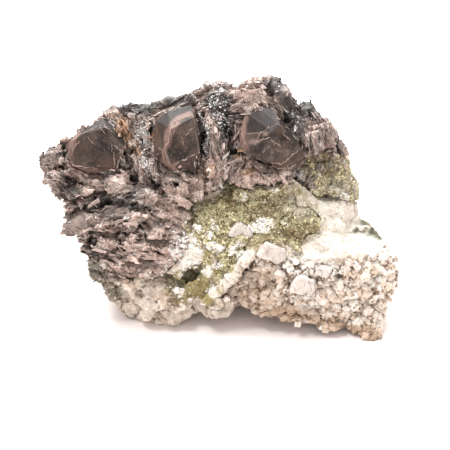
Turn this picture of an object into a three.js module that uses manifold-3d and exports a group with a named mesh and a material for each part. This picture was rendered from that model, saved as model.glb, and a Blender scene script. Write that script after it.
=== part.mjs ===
// Axinite on matrix: a hand-sized mineral specimen that stands on the flats under its rock.
//
// Millimetres, +Z up. +X runs along the specimen's length and the display face looks towards -Y,
// leaning back. The origin is on the resting surface, under the middle of the bounding box.
//
// The pale matrix carries a crust of intergrown axinite blades over its upper left half. The large
// axinite crystals sit in sockets in that crust, two skins of granular epidote lie along its lower
// edge, and clear calcite crystals stand in the matrix. Small blades, grains, ledges and pits are
// joined to, or cut from, the piece that they grow on.
import * as THREE from "three";
import { ConvexGeometry } from "three/addons/geometries/ConvexGeometry.js";
import { mergeVertices } from "three/addons/utils/BufferGeometryUtils.js";
import Module from "manifold-3d";

const wasm = await Module();
wasm.setup();

// ---------------------------------------------------------------- driving dimensions
const GAP = 0.4; // clearance between pieces that sit in one another
const DETAIL = 0.14; // the least edge or offset worth keeping
const SKIN_DEPTH = 3.2; // thickness of an epidote skin
const PROBE_START = -60; // y from which the display face is probed
const MESH_SPACE = 200; // larger than the specimen in every direction
const INWARD = [0, 0.85, -0.55]; // from the display face into the rock
const STRAY = 0.36; // share of the pitch by which a scattered place may stray
const GRAIN_SINK = 0.06; // share of a grain's depth by which its middle is sunk
const BLADE_LIFT = 0.15; // share of a blade's thickness by which its middle stands out
const RHOMB_SKEW = [0.22, 0.3]; // how far a rhomb's sides lean, for each mm along them

// ---------------------------------------------------------------- solids and booleans
const vector = ([x, y, z]) => new THREE.Vector3(x, y, z);

// A closed geometry as a manifold-3d solid.
function solidOf(geometry) {
  const bare = geometry.index ? geometry.toNonIndexed() : geometry.clone();
  bare.deleteAttribute("normal");
  bare.deleteAttribute("uv");
  const merged = mergeVertices(bare, 1e-4);
  return new wasm.Manifold(
    new wasm.Mesh({
      numProp: 3,
      vertProperties: merged.attributes.position.array,
      triVerts: new Uint32Array(merged.index.array),
    }),
  );
}

// A solid as a flat-shaded geometry.
function geometryOf(solid) {
  const mesh = solid.getMesh();
  const geometry = new THREE.BufferGeometry();
  geometry.setAttribute("position", new THREE.BufferAttribute(mesh.vertProperties, 3));
  geometry.setIndex(new THREE.BufferAttribute(mesh.triVerts, 1));
  const flat = geometry.toNonIndexed();
  flat.computeVertexNormals();
  return flat;
}

const hull = (points) => solidOf(new ConvexGeometry(points.map(vector)));
const joined = (solids) => wasm.Manifold.union(solids);
const without = (solid, cutters) => solid.subtract(joined(cutters));
const largest = (solid) => solid.decompose().sort((a, b) => b.volume() - a.volume())[0];

// The hull of corners that are pushed away from their middle, for a socket with clearance.
function pushed(corners, distance) {
  const middle = corners
    .reduce((sum, corner) => sum.add(vector(corner)), new THREE.Vector3())
    .divideScalar(corners.length);
  const push = (corner) => {
    const away = vector(corner).sub(middle).setLength(distance);
    return away.add(vector(corner)).toArray();
  };
  return hull(corners.map(push));
}

// A prism along y through an outline in x and z. Its back end starts at backY for z = 0 and
// leans back with height.
function prism(outline, backY = MESH_SPACE / 2, lean = 0) {
  const shape = new THREE.Shape(outline.map(([x, z]) => new THREE.Vector2(x, z)));
  const geometry = new THREE.ExtrudeGeometry(shape, { depth: MESH_SPACE, bevelEnabled: false });
  geometry.rotateX(Math.PI / 2);
  geometry.translate(0, backY, 0);
  geometry.applyMatrix4(new THREE.Matrix4().makeShear(0, 0, 0, 0, 0, lean));
  return solidOf(geometry);
}

// An outline moved inwards by a distance, corner by corner; it runs anticlockwise in x and z.
function inset(outline, distance) {
  const count = outline.length;
  return outline.map(([x, z], i) => {
    const [x1, z1] = outline[(i + count - 1) % count];
    const [x2, z2] = outline[(i + 1) % count];
    const before = new THREE.Vector2(z1 - z, x - x1).normalize();
    const after = new THREE.Vector2(z - z2, x2 - x).normalize();
    const inward = before.add(after).normalize();
    return [x + inward.x * distance, z + inward.y * distance];
  });
}

// ---------------------------------------------------------------- seeded variation
// A source of repeatable numbers: the well-known mulberry32 generator.
function randomSource(seed) {
  let state = seed;
  const next = () => {
    state = (state + 0x6d2b79f5) | 0;
    let mixed = Math.imul(state ^ (state >>> 15), 1 | state);
    mixed = (mixed + Math.imul(mixed ^ (mixed >>> 7), 61 | mixed)) ^ mixed;
    return ((mixed ^ (mixed >>> 14)) >>> 0) / 2 ** 32;
  };
  const between = (low, high) => low + (high - low) * next();
  return { between, around: (mean, stray) => between(mean - stray, mean + stray) };
}

// ---------------------------------------------------------------- small repeated shapes
// An angular grain: the hull of corners that wind over an ellipsoid.
function grain(at, [sx, sy, sz], random, corners = 8) {
  const winding = 2.4; // radians from one corner to the next, near the golden angle
  const points = [];
  for (let i = 0; i < corners; i++) {
    const height = -1 + (2 * (i + 0.5)) / corners;
    const ring = Math.sqrt(1 - height * height);
    const angle = random.around(i * winding, 0.5);
    const reach = random.between(0.82, 1.14) / 2;
    points.push([
      at[0] + sx * reach * ring * Math.cos(angle),
      at[1] + sy * reach * ring * Math.sin(angle),
      at[2] + sz * reach * height,
    ]);
  }
  return hull(points);
}

// An axinite blade: a rhomb with knife edges all round and a narrow flat on each side.
// dip turns the flat side from the front (0) to the top (90), rise lifts the right-hand end and
// yaw swings the blade about the vertical, all in degrees.
function blade(at, [length, width, thickness], [rise, dip, yaw]) {
  const skew = 0.28; // share of the length by which the rhomb leans
  const flat = 0.62; // share of the outline that the side flats keep
  const outline = [
    [-0.5 - skew / 2, 0.5],
    [0.5 - skew / 2, 0.5],
    [0.5 + skew / 2, -0.5],
    [-0.5 + skew / 2, -0.5],
  ];
  const [x, y, z] = [dip, -rise, yaw].map(THREE.MathUtils.degToRad);
  const turn = new THREE.Euler(x, y, z, "ZYX");
  const corner = (u, v, side) =>
    new THREE.Vector3(u * length, side, v * width).applyEuler(turn).add(vector(at)).toArray();
  return hull([
    ...outline.map(([u, v]) => corner(u, v, 0)),
    ...outline.map(([u, v]) => corner(u * flat, v * flat, thickness / 2)),
    ...outline.map(([u, v]) => corner(u * flat, v * flat, -thickness / 2)),
  ]);
}

// The corners of a cleavage rhomb: a box sheared along its length, then turned.
function rhombCorners({ at, size, turn }) {
  const [skewY, skewZ] = RHOMB_SKEW;
  const shear = new THREE.Matrix4().makeShear(0, 0, skewY, 0, skewZ, 0);
  const euler = new THREE.Euler(...turn.map(THREE.MathUtils.degToRad));
  const signs = [-0.5, 0.5];
  const corners = signs.flatMap((u) => signs.flatMap((v) => signs.map((w) => [u, v, w])));
  return corners.map((corner) =>
    vector(corner)
      .multiply(vector(size))
      .applyMatrix4(shear)
      .applyEuler(euler)
      .add(vector(at))
      .toArray(),
  );
}

// The corners of a crystal: a flat face, whose outline in x and z lies on a leaning plane, the
// shoulder corners beside that face, and root corners inside the rock.
function crystalCorners({ face, at, slope, shoulders, roots }) {
  const [x0, y0, z0] = at;
  const [perX, perZ] = slope; // how far the face recedes for each mm of x and of z
  const onPlane = ([x, z]) => [x, y0 + perX * (x - x0) + perZ * (z - z0), z];
  return [...face.map(onPlane), ...shoulders, ...roots];
}

// ---------------------------------------------------------------- probing the display face
// The first point of the solid along +y at x, z (or along -y from the back), and its normal there.
function probe(solid) {
  const material = new THREE.MeshBasicMaterial({ side: THREE.DoubleSide });
  const mesh = new THREE.Mesh(geometryOf(solid), material);
  const caster = new THREE.Raycaster();
  return (x, z, start = PROBE_START) => {
    caster.set(new THREE.Vector3(x, start, z), new THREE.Vector3(0, -Math.sign(start), 0));
    const [hit] = caster.intersectObject(mesh);
    return hit && { at: hit.point, normal: hit.face.normal };
  };
}

function isInside(x, z, outline) {
  let odd = false;
  outline.forEach(([x1, z1], i) => {
    const [x2, z2] = outline[(i + 1) % outline.length];
    if (z1 > z !== z2 > z && x < x1 + ((z - z1) * (x2 - x1)) / (z2 - z1)) odd = !odd;
  });
  return odd;
}

// Places spread evenly but irregularly over a zone of the display face, or of the back.
function places({ zone, pitch, host, start = PROBE_START }, random) {
  const xs = zone.map(([x]) => x);
  const zs = zone.map(([, z]) => z);
  const found = [];
  let row = 0;
  for (let z = Math.min(...zs); z <= Math.max(...zs); z += pitch) {
    row += 1;
    for (let x = Math.min(...xs) + (row % 2) * pitch * 0.5; x <= Math.max(...xs); x += pitch) {
      const spot = [random.around(x, STRAY * pitch), random.around(z, STRAY * pitch)];
      const hit = isInside(...spot, zone) && host(...spot, start);
      if (hit) found.push(hit);
    }
  }
  return found;
}

// Grains over a zone, partly sunk in the surface; bulk is their share of size in x, y and z.
function grains(where, size, seed, bulk = [1, 0.85, 0.82]) {
  const random = randomSource(seed);
  return places(where, random).map(({ at, normal }) => {
    const scale = random.between(0.75, 1.3) * size;
    const centre = at.clone().addScaledVector(normal, -GRAIN_SINK * scale * bulk[1]);
    const shape = bulk.map((share) => scale * share * random.between(0.85, 1.15));
    return grain(centre.toArray(), shape, random);
  });
}

const LUMP = [1.1, 0.3, 0.8]; // bulk of the flat lumps on the back

// How blades lie: mean rise, dip and yaw, and how far each strays.
const LEAN = {
  stacked: { mean: [8, 88, 2], stray: [14, 16, 22] },
  matted: { mean: [0, 30, 0], stray: [80, 60, 60] },
  upright: { mean: [-60, 40, 0], stray: [50, 40, 50] },
};

// Blades over a zone.
function blades(where, size, { mean, stray }, seed) {
  const random = randomSource(seed);
  return places(where, random).map(({ at, normal }) => {
    const scale = random.between(0.7, 1.35);
    const centre = at.clone().addScaledVector(normal, BLADE_LIFT * size[2]);
    const turn = mean.map((angle, i) => random.around(angle, stray[i]));
    return blade(centre.toArray(), size.map((side) => side * scale), turn);
  });
}

// Cuts for pits: x and z of the mouth, size, rise of the long axis and depth of the centre.
function pits(table, host, seed) {
  const random = randomSource(seed);
  const corners = 9;
  return table.map(({ mouth, size, rise, sunk }) => {
    const { at } = host(...mouth);
    return grain([0, 0, 0], size, random, corners)
      .rotate([0, -rise, 0])
      .translate([at.x, at.y + sunk, at.z]);
  });
}

// ---------------------------------------------------------------- matrix: the main blocks
// Each block is the hull of its corners, x, y and z.
const MATRIX_BLOCKS = {
  lowerRight: [
    [7, -16, 7.5], [13.5, -18.5, 6], [24.5, -19.5, 4.5], [32, -20, 2.5], [40, -20, 2],
    [10, -15, 24.5], [20, -16.5, 23], [30, -16, 24], [39, -15.5, 24], [49.5, -13, 20.5],
    [54.5, -12, 18], [53, -14, 12], [49.5, -17.5, 5], [49, -19, 1.5], [53.8, -9, 21.5],
    [51.8, -3, 22.3], [48.5, 1, 25], [44.5, 2, 26.2], [31, -9, 28.5],
    [10, -2, 1], [45, -4, 1], [51, 11, 4], [50, 13, 17], [44, 16, 24], [8, 18, 24],
  ],
  rightFoot: [
    [43, -21.5, 0.5], [45, -23.5, 0], [48, -22.5, 0], [49.4, -19.5, 2.9], [40, -20, 2.2],
    [40, -20.5, 6], [47, -18.5, 8.5], [44, -10, 0], [49, -10, 0], [46, -8, 8],
  ],
  upperRight: [
    [43.5, 4, 33.6], [43, 4, 37], [41, 6, 39.5], [43, 2, 29], [32.5, -1, 36.3],
    [30, -4, 32], [33.5, -9, 27.8], [24, -12, 27.8], [23.5, -3, 42.8],
    [44.5, 2, 26.3], [41, 17, 26], [41, 15, 37], [37, 16, 45], [20, 17, 46], [14, 10, 26],
  ],
  centre: [
    [2.5, -16.5, 15], [-3.5, -17, 11], [-8.5, -16.5, 14], [-17, -13, 19], [-16, -11, 25],
    [-8, -10.5, 29.5], [1.5, -6, 36], [22, -4, 40], [24.5, -6.5, 34], [25, -14, 26],
    [9.7, -14.5, 25.3], [-14, 16, 12], [20, 18, 12], [22, 18, 44], [-12, 18, 44],
  ],
  middleLobe: [
    [-3.5, -18.2, 12], [5.7, -18.3, 11.5], [5, -18.5, 7], [3.4, -18, 4], [-0.8, -18, 4],
    [-3.2, -17.8, 4.4], [-5.2, -17, 6], [-4, -4, 2], [6, -4, 2], [0, -6, 14],
  ],
  underSeam: [
    [3, -15.5, 8], [9, -15.5, 7.5], [13, -16.5, 7], [11, -14.5, 24], [3, -14.5, 18],
    [4, -2, 3], [12, -2, 3], [8, -2, 20],
  ],
  footSaddle: [
    [-10, -16, 6], [-1, -16.2, 6.5], [-9, -16.5, 14], [0, -16.8, 13], [-9, -4, 2],
    [1, -4, 2], [-4, -6, 16],
  ],
  leftFoot: [
    [-28.6, -12.3, 0], [-29.8, -12, 4.4], [-33.2, -10.5, 9.7], [-37.8, -9, 13], [-39, -7.5, 15.7],
    [-31.5, -12.6, 16], [-25.5, -15.5, 14], [-15, -17.3, 14], [-8, -17, 13.5], [-6, -16.6, 5.5],
    [-9.3, -16.6, 3], [-12.4, -17, 0], [-15.4, -16.8, 0], [-20.5, -14.3, 0], [-8, -6, 0],
    [-33, 10, 5], [-37, 8, 18], [-6, 16, 3], [-6, 16, 18],
  ],
  backLeft: [
    [-27, -4, 0], [-29, 9, 0], [-16, 17, 0], [4, 18, 0], [6, 0, 0], [-37, 6, 8], [-41, 6, 22],
    [-38, 14, 30], [-28, 20, 14], [-6, 23, 12], [-4, 23.5, 34], [-24, 20, 40], [-38, 10, 42],
    [8, 8, 40],
  ],
  backRight: [
    [2, -2, 0], [38, 1, 0], [42, 10, 0], [26, 19, 0], [4, 19, 0], [48, 12, 10], [46, 18, 18],
    [24, 24, 10], [2, 23.5, 20], [22, 24, 32], [38, 20, 34], [38, 12, 42], [2, 12, 42],
  ],
  backTop: [
    [-36, 9, 38], [-34, 14, 42], [-26, 17, 50], [-30, 10, 55], [-12, 17.5, 58], [-14, 11, 60],
    [4, 18.5, 60], [20, 18, 61], [19, 11, 63], [4, 11, 63], [32, 16, 52], [36, 8, 50], [36, 16, 40],
    [0, 22.5, 34], [22, 22.5, 40], [-24, 19, 36], [30, 6, 38], [-30, 6, 38],
  ],
};

// The raised white seam that crosses the matrix from the calcite to the left foot.
const SEAM = [
  [[8.6, -15.6, 24.6], [11.2, -15.8, 26.4]],
  [[2.6, -17.3, 17.6], [5.4, -17.6, 18.2]],
  [[-5.4, -18, 9.6], [-2.6, -18.6, 10.4]],
];
const SEAM_HEIGHT = 1.5;

// ---------------------------------------------------------------- axinite crust: the main blocks
const CRUST_BLOCKS = {
  lowerLeft: [
    [-43.6, -4, 35.5], [-44.6, -4.4, 31.6], [-42.8, -5.6, 28.2], [-38, -7, 27.5],
    [-37.8, -7.5, 22], [-38, -7.5, 17], [-36.5, -8.5, 13.5], [-25.7, -14, 14],
    [-15, -14.8, 17.5], [-11, -12.4, 25], [-30.5, -9.5, 35], [-8, -8.8, 33],
    [-28, -6.5, 39.5], [-38, -7, 37],
    [-36, 7, 20], [-41, 6, 34], [-12, 7, 20], [-10, 7, 38], [-36, 7, 40],
  ],
  leftTip: [
    [-52.4, 0.4, 47.8], [-51.4, 0.8, 49.4], [-49.8, -1, 44.6], [-48.5, -1, 43],
    [-47, -1, 39.9], [-47.4, -1, 36.2],
    [-44.3, -3, 35.5], [-48.8, 1, 50], [-44.4, 1, 51], [-42.9, 3, 53.6], [-37.2, 5, 55.6],
    [-40, -4.5, 47.4], [-33.5, -5.5, 41], [-47, 7, 46], [-43, 8, 38], [-38, 9, 54], [-30, 8, 40],
  ],
  leftUpper: [
    [-33.6, 8, 58.8], [-25.8, 10, 61], [-38.8, 5, 56], [-23, 3.5, 55.8], [-21, -2, 47.5],
    [-30.4, -4.5, 45], [-19.8, 11, 60.2], [-28, -6, 39], [-40, -3, 46], [-36, 12, 54],
    [-18, 13, 56], [-36, 9, 40], [-16, 9, 40], [-20, -6.5, 39],
  ],
  middleUpper: [
    [-19.8, 11, 60.2], [-10.8, 12, 63.2], [-6.4, 12.5, 64.8], [1.6, 12.5, 67], [-1.6, 10, 66],
    [-3.3, 4, 60], [-1.8, -3, 47.7], [-14.7, -4.5, 45], [-0.4, -6, 37.8], [4.6, 12, 66.2],
    [6, -3.5, 46], [-12, -8, 36], [-16, 13, 56], [5, 14, 60], [-14, 9, 38], [6, 9, 38],
    [-21, -1, 47],
  ],
  rightUpper: [
    [4.6, 12.5, 66.2], [13.4, 12.5, 67.6], [19.5, -4.5, 43.7], [6.9, -5.5, 38.5],
    [24.5, -5, 38.4], [31.8, -1.4, 37.5], [3.9, 2, 59], [21, 0, 54], [22, 9, 62.4],
    [28.6, 9, 59.3], [31.4, 7, 57.6], [34.2, 6, 54.8], [34.8, 5, 52], [37.4, 4, 49.8],
    [38.8, 4.6, 47.2], [40.6, 4.6, 43], [42.4, 4.4, 38], [42.6, 4, 35.4], [33, -0.6, 36.4],
    [36, 12, 50], [41, 11, 38], [6, 14, 60], [26, 12, 58], [6, 9, 38], [30, 9, 37],
  ],
  summit: [
    [12, 11, 66], [15, 12, 68.3], [18.9, 11, 68.8], [19.4, 10, 66.2], [21.8, 9, 62.6],
    [13, 6, 60], [21, 6, 57], [14, 14, 60], [21, 13, 60],
  ],
  topPlate: [
    [3.4, 5.4, 65], [8.3, 7, 66.4], [13.4, 7, 66], [15.6, 4, 62.9], [13, 1.8, 61.9],
    [5.3, 2, 62.2], [4.4, 8, 63], [13, 9, 63], [9, 5, 59],
  ],
  darkColumn: [
    [-2.8, 6, 64], [2, 7, 66], [3.2, 1, 58], [-1.6, -0.6, 57], [-1.2, -5.6, 47], [3.2, -5.4, 47],
    [1.4, -4, 43.5], [-2, 6, 50], [3, 6, 50],
  ],
  rightColumn: [
    [22.4, 4.6, 62], [25, 5, 61], [23.6, 0.4, 56], [27.4, 0.6, 55.6], [27.8, -2.8, 47],
    [25.4, -3.6, 47.6], [23.6, 6, 52], [28, 6, 50],
  ],
  leftColumn: [
    [-25, 6, 58.6], [-19.6, 6.4, 59.4], [-20.4, 0.6, 54], [-24.4, -0.2, 53], [-22, -4.6, 46.6],
    [-19.2, -4.4, 47], [-24, 6, 48], [-19, 6, 48],
  ],
};

// Ledges that stand out of the crust on the left, one above another: centre, length, width,
// thickness, then rise, dip and yaw.
const LEDGES = [
  [[-43.6, -2.5, 45.2], [10, 8, 2.6], [26, 84, -14]],
  [[-39.4, -3.8, 40.8], [12, 8, 2.4], [20, 92, -16]],
  [[-36.8, -5, 36.6], [11.4, 8, 2.2], [12, 80, -14]],
  [[-36.4, -6.8, 32], [13, 9, 3.2], [16, 98, -8]],
  [[-25, -9.6, 34.8], [13, 6, 2], [8, 86, 6]],
  [[-28.6, -10, 26.6], [14, 7, 2.2], [6, 84, 2]],
  [[-29.6, -9.8, 21.8], [13, 7, 2.4], [10, 94, 4]],
  [[-21, -12.4, 24], [13, 6, 2], [12, 86, 14]],
  [[-30.4, -10.8, 17.4], [12, 6, 2.4], [4, 82, 8]],
  [[-17.6, -10.4, 31], [12, 6, 2], [14, 84, 16]],
];

// Pits and clefts: the mouth in x and z, the size, the rise of its long axis and how deep its
// centre lies under the surface.
const MATRIX_PITS = [
  { mouth: [-7.2, 17.2], size: [9, 9, 3.2], rise: 36, sunk: 1.5 },
  { mouth: [7.5, 17], size: [8, 4, 3.4], rise: 52, sunk: 0.2 },
  { mouth: [13, 12.5], size: [5, 4, 3.6], rise: 20, sunk: 0.3 },
  { mouth: [33, 6], size: [8, 4, 2.4], rise: -16, sunk: 0.3 },
  { mouth: [37, 18], size: [8, 4, 2.2], rise: -8, sunk: 0.3 },
  { mouth: [21, 13], size: [4.4, 4, 2.6], rise: -30, sunk: 0.3 },
  { mouth: [46, 11], size: [5, 4, 2.4], rise: 50, sunk: 0.3 },
  { mouth: [-19.5, 7.5], size: [7, 4, 2.6], rise: 12, sunk: 0.6 },
];
const CRUST_PITS = [
  { mouth: [-16.5, 28.6], size: [5.6, 8, 1.8], rise: -4, sunk: 0.6 },
  { mouth: [-27.6, 28.6], size: [8, 8, 2], rise: 12, sunk: 0.6 },
  { mouth: [-23.4, 44], size: [3, 8, 4.4], rise: 10, sunk: 1 },
  { mouth: [-27, 37.6], size: [11, 7, 1.8], rise: 8, sunk: 0.6 },
  { mouth: [-3, 41], size: [2, 7, 9], rise: 10, sunk: 1 },
  { mouth: [-3.8, 56], size: [1.8, 9, 10], rise: -6, sunk: 1 },
  { mouth: [4.8, 56], size: [1.8, 9, 10], rise: -4, sunk: 1 },
  { mouth: [-21, 54], size: [1.6, 8, 9], rise: 24, sunk: 1 },
  { mouth: [30.6, 47.2], size: [8, 7, 2], rise: 10, sunk: 0.6 },
  { mouth: [26.6, 53], size: [1.6, 8, 8], rise: -30, sunk: 1 },
];

// ---------------------------------------------------------------- zones of the display face
// Outlines in x and z. The seat is where the crust lies: it runs along the crack between the crust
// and the matrix, then around outside the specimen.
const SEAT = [
  [-70, 16], [-44.8, 17.2], [-38, 12.6], [-31, 15], [-25.7, 14.6], [-20, 17.2], [-15.6, 17.4],
  [-10.6, 21.9], [-7.7, 26.1], [-9, 30.6], [-6.2, 35.5], [-3.3, 37.4], [2.5, 40.3], [9.8, 40],
  [18.4, 41.1], [22.2, 43.9], [24.8, 42.3], [27.3, 40], [29.9, 37.6], [32.8, 36.8], [38.7, 35.4],
  [45.4, 32.2], [70, 30], [70, 90], [-70, 90],
];
const SEAT_BACK = { backY: 1, lean: 0.196 }; // how deep the crust reaches into the rock
const GRANULAR_ZONE = [
  [8, 8], [14, 6], [32, 3], [48, 3], [52, 12], [53, 18], [40, 23], [20, 22], [12, 22],
];
const SLOPE_ZONE = [
  [25, 27], [36, 25], [51, 22], [48, 25], [43, 28], [42, 33], [34, 35], [27, 31],
];
const SUGARY_ZONE = [[-12, 15], [-2, 11], [3, 17], [-1, 24], [-5, 29], [-10, 25]];
const FOOT_ZONE = [[-35, 13], [-28, 4], [-14, 3], [-5, 7], [2, 5], [2, 11], [-8, 13], [-26, 14]];
const LEDGE_ZONE = [[-37, 17], [-24, 15], [-14, 19], [-9, 32], [-27, 37], [-42, 35], [-36, 27]];
const PLUMOSE_ZONE = [
  [-26, 39], [-10, 34], [6, 39], [20, 41], [26, 44], [22, 46], [8, 50], [-3, 47], [-16, 46],
];
const UPPER_ZONE = [
  [-40, 53], [-32, 57], [-18, 59], [0, 64], [18, 66], [34, 53], [38, 48], [28, 50], [18, 62],
  [-2, 60], [-20, 56],
];
const BACK_ZONE = [[-28, 16], [-20, 6], [28, 6], [40, 14], [34, 34], [18, 52], [-12, 50], [-26, 38]];
const EPIDOTE_CENTRE = [
  [-4, 28], [-3, 24.6], [-0.6, 24], [0.6, 20], [3.2, 18.4], [4.8, 22], [8, 23.6], [8.6, 27],
  [11, 29.6], [16, 29], [19, 27], [24, 25.6], [26, 28.4], [29.5, 29], [31, 32], [28, 35],
  [23, 36.2], [22, 42.6], [18.4, 43], [10, 42], [2, 42], [-5, 39.6], [-8, 36], [-7, 33],
  [-9.5, 30.5],
];
const EPIDOTE_RIGHT = [
  [26.6, 42], [28, 38.4], [31, 36], [33, 35], [39, 34], [46, 31], [46, 40], [39.4, 46.8],
  [34, 47.2], [31, 45.6], [27.6, 44.6],
];

// ---------------------------------------------------------------- large crystals
const AXINITE_CRYSTALS = {
  axinite_left: {
    face: [[-40.3, 55], [-36.5, 56.8], [-31.2, 58], [-26.2, 52.7], [-29.4, 48.2], [-40.2, 48.4]],
    at: [-34, -4.2, 51],
    slope: [0.12, 0.5],
    shoulders: [
      [-42.9, 1.2, 53.6], [-43.2, -0.6, 49.9], [-41.8, -2, 47.6], [-36.4, -3.6, 45.2],
      [-29.6, -3, 45], [-33, 4, 59.2], [-26, 3, 55],
    ],
    roots: [[-41, 4, 52], [-32, 4.5, 45], [-27, 4, 50], [-36, 5, 56]],
  },
  axinite_middle: {
    face: [[-12.4, 58.6], [-6.1, 61], [-4.5, 51.2], [-13, 49.1], [-14.3, 53]],
    at: [-9, -4.6, 54],
    slope: [0.3, 0.42],
    shoulders: [
      [-17.6, 3.2, 58.8], [-18.6, 0.5, 52.4], [-18.6, -0.8, 49.4], [-14, 4, 61.2],
      [-7, 4.8, 63], [-5.3, -2.6, 46.2], [-7, -3.6, 43.4], [-11.6, -4.4, 45.4],
    ],
    roots: [[-16, 5, 52], [-5, 5, 56], [-7, 4.5, 46], [-11, 7, 59]],
  },
  axinite_right: {
    face: [[15.5, 58.6], [17.8, 60], [23.8, 53.4], [25.2, 51.6], [18.6, 48.9], [15.6, 50.4]],
    at: [19, -6, 54],
    slope: [0.34, 0.34],
    shoulders: [
      [7.4, 0, 58.8], [8.6, 2, 61.6], [12, 2.4, 63], [16.6, 2, 62.6], [6.3, -1.6, 56.4],
      [7, -3.4, 52.4], [12.9, -5.6, 50], [24.8, -3.4, 48.2], [22, -4.6, 45.2],
    ],
    roots: [[8, 4, 54], [14, 5, 60], [23, 4, 50], [15, 4, 47]],
  },
  axinite_pink: {
    face: [[27.4, 56.8], [32.4, 57.4], [34.4, 50.6], [28, 49.4]],
    at: [31, 0.6, 54],
    slope: [0.2, 0.3],
    shoulders: [[26.2, 3, 55.6], [31.8, 5.6, 58.6], [35.4, 4, 54], [36, 3.6, 49.6], [29, 2, 47.8]],
    roots: [[28, 6, 53], [34, 7, 52]],
  },
  axinite_summit: {
    face: [[17, 66], [20.2, 66.4], [23, 61.6], [19.4, 59.6], [17.2, 61]],
    at: [19.6, 5.6, 63.6],
    slope: [0.35, 0.3],
    shoulders: [[16.4, 8.6, 68.2], [20, 9.2, 68], [23.4, 8.6, 62.4], [24.6, 7.6, 60.4]],
    roots: [[18, 11, 64], [22, 11, 61]],
  },
  axinite_shoulder: {
    face: [[24.4, 61.6], [27.2, 61.4], [30.2, 58], [27.4, 56.6], [24.6, 57.8]],
    at: [27, 4.6, 59.4],
    slope: [0.25, 0.35],
    shoulders: [[24, 8, 63.2], [27.2, 8.4, 62.6], [30.8, 7.4, 58.6]],
    roots: [[26, 10, 60], [29, 9.5, 57.4]],
  },
  axinite_tip: {
    face: [[-48.8, 50], [-45, 51], [-43.6, 47.4], [-47, 46.4], [-49.6, 47.6]],
    at: [-46.6, -2.2, 48.6],
    slope: [-0.1, 0.45],
    shoulders: [[-50.8, 1.2, 48.2], [-49, 2, 51], [-44.8, 1.8, 52.2], [-44, 0, 46]],
    roots: [[-48, 4, 48.6], [-45, 4, 50]],
  },
  axinite_lower: {
    face: [[-29.8, 44.2], [-26, 44.8], [-24.4, 41], [-27.6, 39.4], [-31.4, 41.2]],
    at: [-28, -7.8, 42],
    slope: [0.15, 0.3],
    shoulders: [[-32.6, -5, 43.2], [-29, -4, 46], [-24.6, -4, 45.2], [-23.4, -4.6, 41]],
    roots: [[-30, -1, 42], [-26, -1, 43]],
  },
};

// Calcite rhombs: the crystals of one group are intergrown, so a group is one piece.
const CALCITE_CRYSTALS = {
  calcite_front: [
    { at: [24.2, -19.4, 17.4], size: [4.2, 4.6, 4.8], turn: [-18, 16, 6] },
    { at: [27.6, -19.2, 16.6], size: [2.8, 4, 3.8], turn: [-20, -26, -8] },
    { at: [26.2, -19, 13.8], size: [2.6, 3.8, 2.8], turn: [-10, 38, 16] },
  ],
  calcite_upper: [
    { at: [15.2, -15, 26], size: [5, 5, 4.6], turn: [-16, 24, 8] },
    { at: [18, -15.2, 24.4], size: [3.6, 4.4, 3.6], turn: [-22, -20, 30] },
  ],
  calcite_centre: [
    { at: [6.2, -9.6, 29.8], size: [3.6, 4.6, 4.4], turn: [-24, 14, 10] },
    { at: [9, -9.8, 28.6], size: [2.8, 4, 2.6], turn: [-20, -24, 24] },
  ],
  calcite_right: [{ at: [31, -17, 20.4], size: [4, 4.2, 3.2], turn: [-16, 12, -10] }],
};

// ---------------------------------------------------------------- making the pieces
// The raised seam: a low ridge over each length between two cross lines of its footprint.
function seam(lines) {
  const crest = ([left, right]) => {
    const middle = left.map((value, axis) => (value + right[axis]) / 2);
    return [middle[0], middle[1] - SEAM_HEIGHT, middle[2]];
  };
  const sunk = ([x, y, z]) => [x, y + 3, z];
  return lines.slice(1).map((line, i) => {
    const ends = [lines[i], line];
    return hull(ends.flatMap((end) => [sunk(end[0]), sunk(end[1]), crest(end)]));
  });
}

const blocks = (table) => Object.values(table).map(hull);
const ledges = LEDGES.map((ledge) => blade(...ledge));
const rock = joined([...blocks(MATRIX_BLOCKS), ...blocks(CRUST_BLOCKS), ...seam(SEAM), ...ledges]);
const face = probe(rock);

// The crust takes the rock inside its seat, and the matrix the rest. The crust stands clear of its
// seat's walls, which all look down, right or back.
const seat = prism(SEAT, SEAT_BACK.backY, SEAT_BACK.lean);
const crustSpace = seat.translate([-GAP, -GAP, GAP]);

// Each skin fills a pocket in its zone. Its underside is the rock's own surface, moved inwards.
const under = (depth) => rock.translate(INWARD.map((share) => share * depth));
const skinBottom = under(SKIN_DEPTH);
const pocketFloor = under(SKIN_DEPTH + GAP).intersect(skinBottom);
const pockets = [EPIDOTE_CENTRE, EPIDOTE_RIGHT].map((zone) => prism(zone).subtract(pocketFloor));

const crystals = {};
const sockets = [];
for (const [name, shape] of Object.entries(AXINITE_CRYSTALS)) {
  crystals[name] = hull(crystalCorners(shape));
  sockets.push(pushed(crystalCorners(shape), GAP));
}
for (const [name, group] of Object.entries(CALCITE_CRYSTALS)) {
  crystals[name] = joined(group.map((one) => hull(rhombCorners(one))));
  sockets.push(...group.map((one) => pushed(rhombCorners(one), GAP)));
}

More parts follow.
